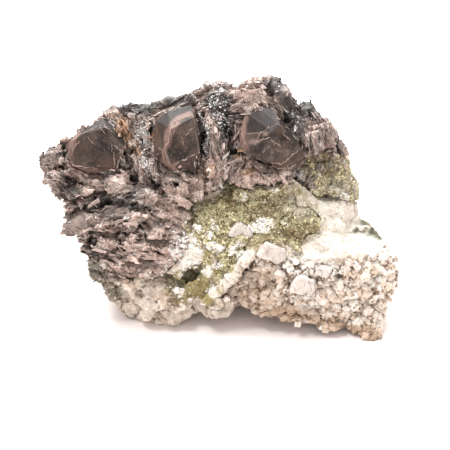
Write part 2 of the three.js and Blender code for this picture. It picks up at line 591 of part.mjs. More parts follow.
function makeMatrix() {
  const grown = [
    ...grains({ zone: GRANULAR_ZONE, pitch: 4.9, host: face }, 5.9, 31),
    ...grains({ zone: SLOPE_ZONE, pitch: 6, host: face }, 6.2, 32),
    ...grains({ zone: SUGARY_ZONE, pitch: 4.6, host: face }, 4.4, 33),
    ...grains({ zone: FOOT_ZONE, pitch: 6.4, host: face }, 6.6, 34),
    ...grains({ zone: BACK_ZONE, pitch: 17, host: face, start: -PROBE_START }, 20, 35, LUMP),
  ];
  const underground = new THREE.BoxGeometry(MESH_SPACE, MESH_SPACE, MESH_SPACE);
  const floor = solidOf(underground.translate(0, 0, -MESH_SPACE / 2));
  const cuts = [floor, seat, ...pockets, ...sockets, ...pits(MATRIX_PITS, face, 12)];
  return without(joined([rock, ...grown]), cuts);
}

function makeCrust() {
  const grown = [
    ...blades({ zone: LEDGE_ZONE, pitch: 5.8, host: face }, [7, 4.2, 1.6], LEAN.stacked, 21),
    ...blades({ zone: PLUMOSE_ZONE, pitch: 5.4, host: face }, [6.4, 4.6, 1.6], LEAN.matted, 22),
    ...blades({ zone: UPPER_ZONE, pitch: 6, host: face }, [6.4, 4.4, 1.7], LEAN.upright, 23),
  ];
  const cuts = [...pockets, ...sockets, ...pits(CRUST_PITS, face, 11)];
  return without(joined([rock, ...grown]).intersect(crustSpace), cuts);
}

// A skin with its grains, inside its pocket's walls; bound limits it against the crust's seat.
function makeSkin(zone, seed, bound) {
  const space = prism(inset(zone, GAP)).subtract(skinBottom);
  const grown = grains({ zone, pitch: 4.4, host: face }, 4.6, seed);
  return without(bound(joined([rock, ...grown]).intersect(space)), sockets);
}

const solids = {
  matrix: makeMatrix(),
  axinite_crust: makeCrust(),
  epidote_centre: makeSkin(EPIDOTE_CENTRE, 41, (solid) => solid.subtract(seat)),
  epidote_right: makeSkin(EPIDOTE_RIGHT, 42, (solid) => solid.intersect(crustSpace)),
  ...crystals,
};

// ---------------------------------------------------------------- materials and the scene graph
const finish = (color, roughness) =>
  new THREE.MeshStandardMaterial({ color, roughness, metalness: 0, flatShading: true });
const MATERIALS = {
  matrix: finish(0xe6dbd0, 0.85),
  axinite_crust: finish(0x8d7470, 0.6),
  axinite: finish(0x574a46, 0.25),
  epidote: finish(0xa39c5c, 0.7),
  calcite: finish(0xecdcd2, 0.3),
};
const materialOf = (name) => MATERIALS[name] ?? MATERIALS[name.split("_")[0]];

const specimen = new THREE.Group();
for (const [name, solid] of Object.entries(solids)) {
  const piece = largest(solid.simplify(DETAIL));
  const mesh = new THREE.Mesh(geometryOf(piece), materialOf(name));
  mesh.name = name;
  specimen.add(mesh);
}

const bounds = new THREE.Box3().setFromObject(specimen);
const middle = bounds.getCenter(new THREE.Vector3());
for (const mesh of specimen.children) mesh.geometry.translate(-middle.x, -middle.y, 0);

export default specimen;
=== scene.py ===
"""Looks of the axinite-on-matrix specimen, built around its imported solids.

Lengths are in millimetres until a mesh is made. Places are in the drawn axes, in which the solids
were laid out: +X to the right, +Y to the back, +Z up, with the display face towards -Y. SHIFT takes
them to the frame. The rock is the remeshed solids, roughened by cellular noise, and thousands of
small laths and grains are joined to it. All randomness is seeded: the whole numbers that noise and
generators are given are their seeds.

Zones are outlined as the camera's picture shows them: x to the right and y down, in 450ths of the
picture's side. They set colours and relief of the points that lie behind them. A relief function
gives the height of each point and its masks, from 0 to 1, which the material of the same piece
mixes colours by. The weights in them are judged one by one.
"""

import itertools
import math

import bmesh
import bpy
import numpy as np
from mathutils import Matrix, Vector
from mathutils.kdtree import KDTree


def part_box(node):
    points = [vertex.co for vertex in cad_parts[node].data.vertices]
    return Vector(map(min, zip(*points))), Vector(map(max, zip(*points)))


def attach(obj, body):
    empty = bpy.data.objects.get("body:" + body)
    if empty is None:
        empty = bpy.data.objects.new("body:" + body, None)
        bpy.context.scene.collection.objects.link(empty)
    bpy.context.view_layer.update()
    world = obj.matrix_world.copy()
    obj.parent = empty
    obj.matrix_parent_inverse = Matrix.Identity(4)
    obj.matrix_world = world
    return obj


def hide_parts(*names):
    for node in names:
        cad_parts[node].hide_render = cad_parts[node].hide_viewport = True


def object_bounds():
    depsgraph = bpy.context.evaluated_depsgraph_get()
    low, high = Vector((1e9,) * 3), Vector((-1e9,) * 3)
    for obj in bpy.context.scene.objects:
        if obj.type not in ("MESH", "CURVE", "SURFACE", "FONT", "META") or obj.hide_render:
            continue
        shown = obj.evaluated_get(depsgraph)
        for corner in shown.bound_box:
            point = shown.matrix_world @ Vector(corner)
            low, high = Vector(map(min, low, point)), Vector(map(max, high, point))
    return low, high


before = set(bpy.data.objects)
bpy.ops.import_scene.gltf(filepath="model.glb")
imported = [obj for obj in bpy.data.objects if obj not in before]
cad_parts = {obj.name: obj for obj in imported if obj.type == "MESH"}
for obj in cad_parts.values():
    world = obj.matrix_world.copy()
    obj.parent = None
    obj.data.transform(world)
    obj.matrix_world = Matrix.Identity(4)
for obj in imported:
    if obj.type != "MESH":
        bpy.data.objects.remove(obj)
cad_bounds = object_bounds()

# ---- driving dimensions
MM = 0.001
CRYSTAL_LEFT = -43.2  # the least x of axinite_left in the drawn axes
CRYSTAL_BACK = 5.0  # its greatest y there
SHIFT = np.array(
    [
        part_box("axinite_left")[0].x / MM - CRYSTAL_LEFT,
        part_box("axinite_left")[1].y / MM - CRYSTAL_BACK,
        0.0,
    ]
)
BOX_LOW, BOX_HIGH = (np.array(corner) / MM - SHIFT for corner in cad_bounds)

CAMERA_AT = np.array([2.5, -170.0, 118.1])
CAMERA_DOWN = 28.38  # degrees below the horizon
CAMERA_LENS = 50.2
CAMERA_SENSOR = 36.0
PICTURE = 450  # units along the picture's side
RIGHT = np.array([1.0, 0.0, 0.0])
UP = np.array([0.0, math.sin(math.radians(CAMERA_DOWN)), math.cos(math.radians(CAMERA_DOWN))])
AHEAD = np.array([0.0, math.cos(math.radians(CAMERA_DOWN)), -math.sin(math.radians(CAMERA_DOWN))])

MATRIX_VOXEL = 0.51
CRUST_VOXEL = 0.4
EPIDOTE_VOXEL = 0.32
CALCITE_VOXEL = 0.24
ROUGH_VOXEL = 0.3
LATH_SPACING = 0.56
MATRIX_GRAIN_SPACING = 0.95
SKIN_GRAIN_SPACING = 0.55
FRINGE_GRAIN_SPACING = 0.6
SPARKLE_SPACING = 0.65
BORDER = 1.5  # how far the laths reach from the crust over the crystals
FRINGE_REACH = 2.2  # how far the epidote's grains reach over the crust
LATH_REACH = 2.6  # how far the crust's laths straggle over the epidote
CRUMB_REACH = 1.8  # how far crumbs of calcite lie round its crystals
BLOCK_SIZE = 2.4  # of the matrix's blocks
CRUMB_SIZE = 1.1  # of the crumbs on them
THICK_PLATES = (1.6, 6.0)  # thickness and length of the crust's plates
THIN_PLATES = (0.5, 2.2)
SKIN_GRAIN_SIZE = 0.8
CLEAVAGE_SIZE = 2.6  # of the calcite's steps
GRAIN_SIZES = (0.4, 3.6)  # least and greatest, of the matrix's grains
LATH_LENGTHS = (0.4, 4.5)
LATH_WIDTHS = (0.15, 2.0)
CRYSTAL_BEVEL = 0.12
CRYSTAL_CUT = 0.7  # the longest edge on the crystals' faces
PLATE_RISES = (17, -23, -72, 55)  # the main lies of the crust's plates, in degrees
CALCITE_ROUNDING = 20  # rounds of softening of the calcite's corners
SLIVER_REACH = 3  # about how many picture units of a stroke each sliver covers
UNITS_PER_MM = 3.2  # about how many picture units a mm takes up
ASIDE_COST = 4  # how many mm of depth a sliver's place avoids for one picture unit off its stroke
ROUGH_CRYSTALS = ["axinite_" + name for name in ("pink", "summit", "shoulder", "tip", "lower")]
LARGE_CRYSTALS = ["axinite_" + name for name in ("left", "middle", "right")]
LIGHT = 1.33  # how far the studio light overexposes a white floor
KEY_LIGHT = {"at": (-30, 190, 360), "target": (0, 0, 20), "size": 420, "energy": 6.4}
GLINT_LIGHT = {"at": (-130, -50, 370), "target": (0, 0, 30), "size": 60, "energy": 0.6}
FLOOR_HALF = 3.0  # half the floor's side, in metres

# ---- zones of the display face
# Closed outlines of regions.
GRANULAR = [
    (225, 297), (246, 264), (262, 252), (285, 262), (310, 262), (330, 268), (352, 258), (385, 246),
    (402, 262), (398, 290), (381, 335), (372, 343), (300, 330), (240, 310),
]
SLOPE = [
    (300, 200), (318, 188), (352, 178), (362, 200), (364, 218), (388, 236), (402, 256), (385, 258),
    (352, 266), (330, 276), (300, 270), (285, 262), (290, 250), (308, 244), (304, 215),
]
SUGARY = [
    (178, 268), (180, 246), (190, 232), (200, 238), (212, 255), (222, 270), (240, 255), (252, 250),
    (230, 284), (210, 302), (195, 314), (175, 302), (160, 288), (165, 276),
]
FOOT = [
    (105, 272), (130, 268), (178, 275), (176, 290), (208, 300), (240, 296), (256, 318), (180, 332),
    (120, 326), (98, 290),
]
GREEN_FLOOR = [(188, 276), (204, 270), (216, 268), (224, 284), (212, 302), (198, 302), (184, 290)]
LEDGES = [
    (66, 200), (96, 190), (150, 196), (168, 212), (166, 240), (174, 268), (150, 276), (104, 270),
    (84, 244), (68, 224),
]
LOWER_CRUST = [
    (56, 172), (96, 184), (130, 196), (200, 178), (250, 176), (290, 178), (284, 200), (256, 206),
    (206, 200), (176, 236), (174, 268), (150, 278), (100, 272), (84, 244),
]
WHITE_FRINGE = [
    (174, 234), (190, 230), (194, 248), (186, 268), (176, 284), (150, 290), (158, 278), (168, 262),
]
PALE_SKIN = [(286, 182), (308, 186), (320, 196), (318, 214), (300, 224), (284, 208)]
EPIDOTE = [
    (192, 216), (200, 204), (207, 197), (222, 199), (240, 200), (256, 203), (270, 199), (287, 206),
    (302, 213), (309, 232), (296, 247), (279, 243), (258, 250), (242, 253), (234, 268), (222, 277),
    (217, 266), (206, 257), (195, 236),
]
EPIDOTE_RIGHT = [
    (303, 160), (320, 154), (340, 157), (348, 170), (350, 186), (336, 190), (318, 188), (306, 176),
]
FRINGE = [(160, 240), (176, 226), (190, 214), (202, 238), (186, 262), (172, 280), (150, 276), (140, 268)]

# Lines.
RIDGE = [(254, 251), (246, 260), (236, 271), (225, 284), (212, 296), (204, 302)]
RIDGE_SHADE = [(257, 256), (248, 268), (240, 278), (230, 288), (222, 297)]
RIGHT_EDGE = [(328, 198), (340, 200), (350, 199), (357, 192)]
CRACK = [(255, 160), (273, 165), (287, 170), (295, 177), (307, 185), (318, 193), (327, 196)]

# Ellipses: x, y, half width, half height, turn in degrees.
EPIDOTE_SHADE = [(289, 232, 15, 9, -20), (330, 172, 9, 7, 0), (236, 203, 12, 4, 0)]
FOOT_SHADE = [(91, 264, 9, 8, -35), (102, 279, 14, 9, -40), (114, 294, 11, 8, -50)]
GREEN_NOTCH = [(364, 224, 8, 4, -25), (378, 232, 10, 5, -25), (360, 233, 12, 2, 0)]
# A brown tint down the right edge, and painted shade along the bottom edges.
BROWN_EDGE_AND_SHADE = [(357, 192, 3, 12, 0), (350, 328, 40, 6, -14), (290, 314, 40, 7, -12)]
BROWN_SPOTS = [(256, 290, 22, 16, 0), (165, 290, 9, 6, -20), (262, 284, 18, 9, -20), (352, 256, 20, 5, 10)]
# Spots painted darker: partly a darker tone, partly painted shade.
DIM_AND_SHADE = [
    (94, 218, 32, 12, 12), (56, 157, 18, 11, 0), (306, 108, 13, 13, 0),
    (322, 134, 10, 12, 0), (120, 104, 24, 8, 25), (165, 92, 26, 8, 20),
    (160, 103, 18, 6, 10), (100, 130, 20, 5, 25), (257, 122, 14, 8, -20), (92, 206, 22, 8, 15),
]
PALE_SPOTS = [(345, 188, 18, 8, -15), (332, 194, 12, 5, -10), (356, 178, 6, 12, 0)]
CREAM = [(171, 176, 8, 5, -20), (178, 180, 7, 4, -20), (122, 182, 8, 5, 0)]
SLOT = (190, 277, 14, 6, 36)
WHITE_BLOBS = [
    (198, 228, 4, 3, 0), (208, 233, 5, 3, 0), (210, 244, 6, 5, 0), (219, 248, 5, 4, 0),
    (233, 250, 4, 4, 0), (192, 250, 10, 15, 0), (217, 265, 6, 4, 0), (240, 258, 7, 5, 40),
    (208, 272, 6, 5, 0), (183, 264, 9, 6, 0), (178, 292, 7, 5, 0), (196, 303, 9, 4, 0),
    (214, 290, 7, 5, 40), (263, 225, 11, 8, 0), (249, 229, 7, 5, 20),
]
GREEN_SPOTS = [(200, 292, 10, 9, 0), (222, 262, 4, 9, 10), (206, 252, 3, 4, 0), (174, 304, 4, 5, 0)]
RUST = [
    (123, 131, 8, 15, 12), (133, 145, 5, 8, 20), (150, 134, 3, 7, 15), (238, 152, 6, 9, 30),
    (246, 170, 8, 8, 0), (208, 168, 5, 10, 0), (196, 172, 5, 5, 0), (274, 94, 4, 5, 0),
]
SPARKLING = [
    (144, 140, 5, 18, 12), (218, 104, 8, 14, 0), (204, 130, 3, 20, 12), (226, 124, 5, 9, 0),
    (300, 172, 5, 10, 20), (148, 167, 5, 10, 30),
]
GLITTER = SPARKLING + [(292, 118, 2, 8, 40)]
FROST = SPARKLING + [
    (150, 106, 18, 4, 22), (178, 97, 20, 4, 20), (292, 118, 7, 14, 40), (96, 168, 16, 4, -8),
    (128, 196, 20, 7, 10),
]
BLACK = [
    (132, 108, 14, 6, 20), (150, 107, 24, 8, 22), (180, 98, 20, 7, 20), (203, 140, 6, 24, 12),
    (226, 130, 9, 14, 0), (218, 104, 10, 14, 0), (291, 124, 12, 14, 35), (304, 108, 9, 10, 40),
    (276, 90, 10, 9, 20), (72, 186, 13, 7, -35), (224, 180, 3, 12, -12), (100, 206, 14, 7, 20),
    (128, 207, 16, 4, 8), (92, 240, 5, 14, 0), (286, 103, 7, 12, 30), (189, 168, 12, 8, -15),
    (306, 106, 10, 11, 40), (283, 84, 9, 8, 0), (166, 97, 20, 5, 22), (260, 124, 13, 9, -20),
]
PINK = [
    (68, 144, 7, 9, 0), (96, 178, 26, 5, -20), (180, 175, 13, 5, -15), (252, 98, 20, 9, 0),
    (321, 133, 12, 14, 0), (214, 188, 24, 14, 0), (262, 186, 26, 14, 0), (152, 221, 9, 6, 0),
    (120, 170, 9, 8, 0), (185, 205, 14, 18, 0), (160, 240, 24, 12, -25),
    (186, 222, 6, 8, 0), (158, 128, 5, 16, -20), (120, 248, 30, 20, 0), (95, 218, 20, 12, 0),
    (150, 258, 24, 16, 0), (130, 226, 30, 13, 0), (252, 190, 30, 12, 0), (204, 206, 12, 8, 0),
]
HOLLOWS = [
    (137, 176, 4, 6, 0), (161, 177, 3, 4, 0), (175, 184, 6, 2, -8), (104, 205, 10, 3, 20),
    (125, 204, 13, 2, 8), (91, 241, 2, 11, 0), (118, 248, 9, 2, -16), (145, 240, 8, 2, -8),
    (138, 226, 4, 4, 0), (114, 222, 9, 1.5, 12), (224, 181, 2, 12, -12), (249, 199, 8, 3, -10),
    (327, 149, 10, 3, 15), (149, 130, 3, 7, 0), (132, 151, 3, 4, 0), (123, 167, 6, 2, -20),
    (238, 150, 10, 3, -35), (203, 143, 3, 16, 12), (228, 128, 3, 14, 0), (68, 197, 11, 3, -35),
    (190, 181, 4, 2, 0), (282, 118, 3, 6, 30), (130, 262, 9, 1.5, -18), (160, 252, 6, 1.5, -20),
    (132, 234, 8, 1.5, -12), (104, 236, 8, 1.5, -10), (84, 208, 10, 1.5, 22), (110, 196, 12, 1.5, 15),
    (146, 258, 8, 1.5, -20), (104, 258, 7, 1.5, -15), (150, 210, 8, 1.5, 5),
]
BULGES = [
    (130, 112, 28, 11, 15), (160, 100, 16, 8, 20), (225, 88, 18, 9, 0), (262, 84, 16, 8, 0),
    (74, 223, 14, 9, 10),
]
SMOOTH = [
    (250, 100, 17, 8, 5), (278, 94, 14, 14, 40), (164, 104, 36, 8, 22), (52, 156, 10, 6, -10),
    (84, 220, 22, 9, 15), (152, 221, 8, 5, 0), (180, 175, 12, 5, -15), (118, 181, 8, 5, 0),
    (189, 168, 12, 8, -15), (304, 107, 9, 10, 40), (128, 107, 22, 7, 12),
]

# Outlines of the bevels down the sides of the large crystals, painted paler: a pink tone and a painted
# highlight.
BEVELS = [
    [
        (60, 158), (66, 142), (76, 136), (82, 118), (96, 118), (84, 122), (78, 138), (73, 150),
        (70, 160), (74, 167), (86, 170), (98, 170), (110, 176), (90, 182), (70, 172),
    ],
    [
        (160, 158), (163, 146), (164, 132), (170, 122), (178, 115), (192, 112), (194, 118),
        (180, 122), (174, 128), (173, 140), (166, 150), (166, 160), (176, 164), (168, 170),
    ],
    [(240, 144), (238, 124), (243, 114), (247, 116), (244, 126), (245, 140), (250, 152), (245, 152)],
]

# Thin light slivers and the edges of facets, as lines over the surface; along the facets' edges the light
# slivers are a painted highlight.
STROKES = [
    [(79, 141), (73, 150), (70, 158), (72, 165), (84, 167), (96, 168)],
    [(88, 137), (93, 143)],
    [(100, 128), (104, 133)],
    [(112, 147), (114, 158), (115, 168)],
    [(113, 145), (120, 150), (127, 158)],
    [(80, 135), (102, 125), (114, 133)],
    [(176, 163), (183, 160), (190, 157), (199, 152)],
    [(172, 124), (170, 133), (168, 142), (162, 153), (165, 160)],
    [(181, 138), (184, 145)],
    [(187, 134), (193, 128)],
    [(172, 124), (182, 119), (192, 116)],
    [(245, 118), (243, 126), (242, 134), (246, 146)],
    [(257, 137), (264, 131), (270, 127), (277, 125), (287, 127), (297, 131)],
    [(297, 137), (303, 147), (297, 151), (287, 160), (281, 164), (273, 163)],
    [(258, 142), (264, 139), (270, 137)],
    [(272, 140), (280, 147)],
    [(262, 152), (268, 147)],
    [(283, 134), (290, 140)],
    [(231, 104), (238, 97), (247, 93), (260, 92), (270, 103), (277, 113)],
    [(233, 109), (241, 101), (250, 97), (263, 98), (273, 110), (279, 120)],
    [(244, 100), (256, 99), (266, 106)],
    [(295, 172), (300, 164), (304, 160)],
    [(291, 178), (297, 172), (303, 163)],
    [(255, 162), (262, 164), (271, 166), (280, 168)],
    [(250, 170), (260, 168), (272, 171), (280, 178)],
    [(256, 178), (264, 174), (274, 177)],
    [(128, 128), (133, 140), (138, 152)],
    [(214, 150), (219, 161), (222, 170)],
    [(236, 166), (242, 158), (244, 150)],
]

# The lie of the laths: x, y, rise in degrees and how far single laths stray from it.
FLOW = np.array(
    [
        (62, 158, 35, 25), (70, 180, -35, 25), (92, 178, -22, 20), (75, 205, 20, 10),
        (110, 205, 17, 10), (90, 222, 14, 10), (140, 207, 8, 15), (120, 225, 12, 14),
        (165, 200, -30, 40), (100, 240, -18, 10), (122, 250, -22, 10), (140, 250, -25, 14),
        (110, 264, -25, 22), (150, 264, -30, 25), (168, 235, -40, 45), (128, 130, -70, 20),
        (144, 145, -72, 10), (152, 165, -65, 12), (150, 105, 22, 12), (180, 98, 22, 12),
        (200, 95, 10, 25), (205, 130, -75, 10), (215, 155, -75, 12), (225, 175, 75, 15),
        (235, 160, 60, 25), (245, 98, 15, 15), (262, 98, -30, 15), (272, 112, -50, 12),
        (278, 88, 60, 20), (290, 115, -55, 20), (305, 108, -50, 20), (322, 130, -80, 15),
        (330, 140, -70, 20), (215, 188, -60, 50), (245, 182, 30, 35), (262, 172, -10, 25),
        (276, 182, -60, 25), (288, 185, -80, 15), (297, 178, 60, 15), (265, 196, -45, 40),
    ],
    float,
)


# ---- repeatable noise
def hashed(cell, seed):
    """A repeatable number from 0 to 1 for each whole-number cell, given as N rows of three.

    The large factors only mix the bits.
    """
    c = cell.astype(np.int64)
    h = (c[:, 0] * 73856093) ^ (c[:, 1] * 19349663) ^ (c[:, 2] * 83492791) ^ (seed * 2654435761)
    h = ((h ^ (h >> 15)) * 2246822519) & 0xFFFFFFFF
    h = ((h ^ (h >> 13)) * 3266489917) & 0xFFFFFFFF
    return ((h ^ (h >> 16)) & 0xFFFFFFFF) / 2.0**32


def noise(points, size, seed):
    """Smooth noise from -1 to 1 with features of the given size."""
    q = points / size
    base = np.floor(q)
    f = q - base
    f = f * f * (3 - 2 * f)
    total = np.zeros(len(points))
    for corner in itertools.product((0, 1), repeat=3):
        weight = np.prod(np.where(corner, f, 1 - f), axis=1)
        total += weight * hashed(base + corner, seed)
    return total * 2 - 1


def fractal(points, size, seed):
    """Three octaves of noise, each at half the size and strength, near -1 to 1."""
    total = np.zeros(len(points))
    for octave in range(3):
        total += noise(points, size / 2**octave, seed + octave) / 2**octave
    return total


def cells(points, size, seed):
    """Cellular noise: the distance to the nearest cell, the margin to the next, the cell's mark."""
    q = points / size
    base = np.floor(q)
    first = np.full(len(points), 9.0)
    second = first.copy()
    mark = np.zeros(len(points))
    for offset in itertools.product((-1, 0, 1), repeat=3):
        cell = base + offset
        place = np.stack([hashed(cell, seed + axis) for axis in range(3)], axis=1)
        distance = np.linalg.norm(q - cell - place, axis=1)
        nearer = distance < first
        second = np.where(nearer, first, np.minimum(second, distance))
        mark = np.where(nearer, hashed(cell, seed + 7), mark)
        first = np.minimum(first, distance)
    return first, second - first, mark


def step(low, high, value):
    """A smooth ramp from 0 at low to 1 at high."""
    t = np.clip((value - low) / (high - low), 0, 1)
    return t * t * (3 - 2 * t)


def patchy(points, size, seed, low, high):
    """Fractal noise as patches: 0 where it is at low or past it, 1 where it is at high."""
    return step(low, high, fractal(points, size, seed))


# ---- the camera's picture
def seen(points):
    """Where the camera's picture shows the points."""
    away = points - CAMERA_AT
    scale = PICTURE * CAMERA_LENS / CAMERA_SENSOR / (away @ AHEAD)
    middle = PICTURE / 2
    return np.stack([middle + scale * (away @ RIGHT), middle - scale * (away @ UP)], axis=1)


class Display:
    """Points as the picture shows them; ragged, in picture units, stirs the borders of zones."""

    def __init__(self, points, ragged=0.0):
        self.at = seen(points)
        if ragged:
            self.at += ragged * np.stack([fractal(points, 4.0, seed) for seed in (5, 25)], axis=1)

    def distance(self, line):
        """How far each point is from the line."""
        x, y = self.at.T
        nearest = np.full(len(x), np.inf)
        for (x1, y1), (x2, y2) in zip(line, line[1:]):
            along = ((x - x1) * (x2 - x1) + (y - y1) * (y2 - y1)) / math.hypot(x2 - x1, y2 - y1) ** 2
            t = np.clip(along, 0, 1)
            nearest = np.minimum(nearest, np.hypot(x - x1 - t * (x2 - x1), y - y1 - t * (y2 - y1)))
        return nearest

    def within(self, outline, edge=3.0):
        """1 inside the outline and 0 outside, changing smoothly over the edge width."""
        x, y = self.at.T
        closed = outline + outline[:1]
        odd = np.zeros(len(x), bool)
        for (x1, y1), (x2, y2) in zip(closed, closed[1:]):
            crosses = (y1 > y) != (y2 > y)
            slant = (x2 - x1) / (y2 - y1) if y2 != y1 else 0.0
            odd ^= crosses & (x < x1 + (y - y1) * slant)
        away = self.distance(closed)
        return step(-edge / 2, edge / 2, np.where(odd, away, -away))

    def bevels(self):
        """1 on the bevels of the large crystals."""
        return np.maximum.reduce([self.within(band) for band in BEVELS])

    def skins(self, edge):
        """1 on the epidote skins."""
        return np.maximum(self.within(EPIDOTE, edge), self.within(EPIDOTE_RIGHT, edge))

    def along(self, line, width):
        """1 on the line and 0 further from it than the width."""
        return step(width, width * 0.3, self.distance(line))

    def over(self, spots, soft=0.5):
        """The strongest of some elliptical spots: 1 in the middle, 0 outside, soft at the edge."""
        strongest = np.zeros(len(self.at))
        for x, y, half_width, half_height, turn in spots:
            angle = math.radians(turn)
            away = self.at - (x, y)
            across = (away[:, 0] * math.cos(angle) - away[:, 1] * math.sin(angle)) / half_width
            upward = (away[:, 0] * math.sin(angle) + away[:, 1] * math.cos(angle)) / half_height
            reach = np.hypot(across, upward)
            strongest = np.maximum(strongest, step(1 + soft, 1 - soft, reach))
        return strongest

    def flow(self):
        """The laths' rise in radians and their straying, blended from the nearest entries."""
        away = self.at[:, None, :] - FLOW[None, :, :2]
        weight = 1 / (np.sum(away**2, axis=2) + 20) ** 2
        weight /= weight.sum(axis=1)[:, None]
        double = np.radians(FLOW[:, 2] * 2)
        upward = np.sum(weight * np.sin(double), axis=1)
        sideways = np.sum(weight * np.cos(double), axis=1)
        return np.arctan2(upward, sideways) / 2, np.radians(np.sum(weight * FLOW[:, 3], axis=1))


def frontal(points):
    """1 for points at the display side of the rock, 0 for those behind it.

    The border between them leans back, and is 2 to 10 behind the middle at a height of 20.
    """
    return step(10, 2, points[:, 1] - 0.25 * (points[:, 2] - 20))


def turned_away(normals):
    """1 where the surface turns away from the camera."""
    return step(0.4, 0.1, -(normals @ AHEAD))


def lit(normals):
    """1 where the surface faces the light in front and above."""
    return step(0.0, 0.5, -normals[:, 1] * 0.85 + normals[:, 2] * 0.5)


# ---- mesh arrays
class Shape:
    """Points, triangle or quad lists, and a few named numbers for each point."""

    def __init__(self, points, faces, values=None):
        self.points = np.asarray(points, float)
        self.faces = faces
        self.values = values or {}

    def face_normals(self):
        """Normals of the faces, as long as twice their areas."""
        p = self.points
        f = self.faces
        return np.cross(p[f[:, 2]] - p[f[:, 0]], p[f[:, -1]] - p[f[:, 1]])

    def normals(self):
        """Unit normals of the points, from the faces around them."""
        across = self.face_normals()
        total = np.zeros_like(self.points)
        for corner in self.faces.T:
            for axis in range(3):
                total[:, axis] += np.bincount(corner, across[:, axis], len(self.points))
        return total / np.maximum(np.linalg.norm(total, axis=1), 1e-12)[:, None]


def in_order(points, faces):
    """The same mesh with its points and faces put in the order of their places."""
    order = np.lexsort(points.T)
    rank = np.empty(len(points), np.int64)
    rank[order] = np.arange(len(points))
    faces = rank[faces]
    corners = faces.shape[1]
    turned = (np.argmin(faces, axis=1)[:, None] + np.arange(corners)) % corners
    faces = np.take_along_axis(faces, turned, axis=1)
    return Shape(points[order], faces[np.lexsort(faces.T)])


def remeshed(node, voxel):
    """The node's solid as an even quad mesh with faces about voxel mm wide, in drawn axes."""
    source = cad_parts[node]
    copy = source.copy()
    copy.data = source.data.copy()
    bpy.context.scene.collection.objects.link(copy)
    modifier = copy.modifiers.new("voxels", "REMESH")
    modifier.mode = "VOXEL"
    modifier.voxel_size = voxel * MM
    result = copy.evaluated_get(bpy.context.evaluated_depsgraph_get())
    mesh = result.to_mesh()
    points = np.empty(len(mesh.vertices) * 3)
    mesh.vertices.foreach_get("co", points)
    corners = np.empty(len(mesh.loops), np.int64)
    mesh.loops.foreach_get("vertex_index", corners)
    result.to_mesh_clear()
    bpy.data.objects.remove(copy)
    return in_order(points.reshape(-1, 3) / MM - SHIFT, corners.reshape(-1, 4))


def roughened(shape, relief):
    """The shape with its points moved along their normals by relief(points, normals)."""
    normals = shape.normals()
    height, values = relief(shape.points, normals)
    moved = shape.points + normals * height[:, None]
    moved = np.clip(moved, BOX_LOW, BOX_HIGH)
    return Shape(moved, shape.faces, values)


def add_object(name, data):
    """A new object, linked into the scene."""
    holder = bpy.data.objects.new(name, data)
    bpy.context.scene.collection.objects.link(holder)
    return holder


def make_piece(name, shape, material, replaces=()):
    """A mesh object of the shape, riding on the one body."""
    points = (np.clip(shape.points, BOX_LOW, BOX_HIGH) + SHIFT) * MM
    mesh = bpy.data.meshes.new(name)
    mesh.from_pydata(points.tolist(), [], shape.faces.tolist())
    for key, value in shape.values.items():
        mesh.attributes.new(key, "FLOAT", "POINT").data.foreach_set("value", value.astype(np.float32))
    mesh.materials.append(material)
    mesh.update()
    piece = add_object(name, mesh)
    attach(piece, "root")
    if replaces:
        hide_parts(*replaces)


# ---- scattered small shapes
def hull_shape(points):
    """The convex hull of a few points, as triangles."""
    work = bmesh.new()
    for point in points:
        work.verts.new(point)
    bmesh.ops.convex_hull(work, input=work.verts)
    loose = [v for v in work.verts if not v.link_faces]
    bmesh.ops.delete(work, geom=loose, context="VERTS")
    bmesh.ops.triangulate(work, faces=work.faces)
    bmesh.ops.recalc_face_normals(work, faces=work.faces)
    work.verts.index_update()
    corners = [v.co[:] for v in work.verts]
    faces = [[v.index for v in f.verts] for f in work.faces]
    work.free()
    return Shape(corners, np.array(faces))


def grain_variants(count, corners, seed):
    """Angular grains about 1 across."""
    rng = np.random.default_rng(seed)
    variants = []
    for _ in range(count):
        direction = rng.normal(size=(corners, 3))
        direction /= np.linalg.norm(direction, axis=1)[:, None]
        variants.append(hull_shape(direction * rng.uniform(0.42, 0.56, (corners, 1))))
    return variants


def lath_variants(count, seed):
    """Laths about 1 long (x), 1 wide (y) and 1 thick (z), with sharp edges all round."""
    rng = np.random.default_rng(seed)
    variants = []
    for _ in range(count):
        rim = np.array([(-0.5, -0.36, 0), (0.4, -0.5, 0), (0.5, 0.34, 0), (-0.36, 0.5, 0)], float)
        rim[:, :2] += rng.uniform(-0.14, 0.14, (4, 2))
        ridge = np.array([(-0.3, 0, 0.5), (0.3, 0, 0.5), (0, 0, -0.5)])
        ridge[:, :2] += rng.uniform(-0.12, 0.12, (3, 2))
        top = [(0, 1, 5), (0, 5, 4), (1, 2, 5), (2, 3, 4), (2, 4, 5), (3, 0, 4)]
        bottom = [(1, 0, 6), (2, 1, 6), (3, 2, 6), (0, 3, 6)]
        # edge is 1 on the rim, which the laths' material paints with a highlight.
        edge = np.array([1.0] * 4 + [0.0] * 3)
        variants.append(Shape(np.vstack([rim, ridge]), np.array(top + bottom), {"edge": edge}))
    return variants


def unit(vectors):
    """The vectors at a length of 1."""
    return vectors / np.maximum(np.linalg.norm(vectors, axis=1), 1e-9)[:, None]


def axes_from(normal, along):
    """Rotation matrices whose z is the normal and whose x lies as near to along as it can."""
    z = unit(normal)
    x = unit(along - np.sum(along * z, axis=1)[:, None] * z)
    return np.stack([x, np.cross(z, x), z], axis=2)


def any_axes(count, rng):
    """Rotation matrices that turn every way."""
    return axes_from(rng.normal(size=(count, 3)), rng.normal(size=(count, 3)))


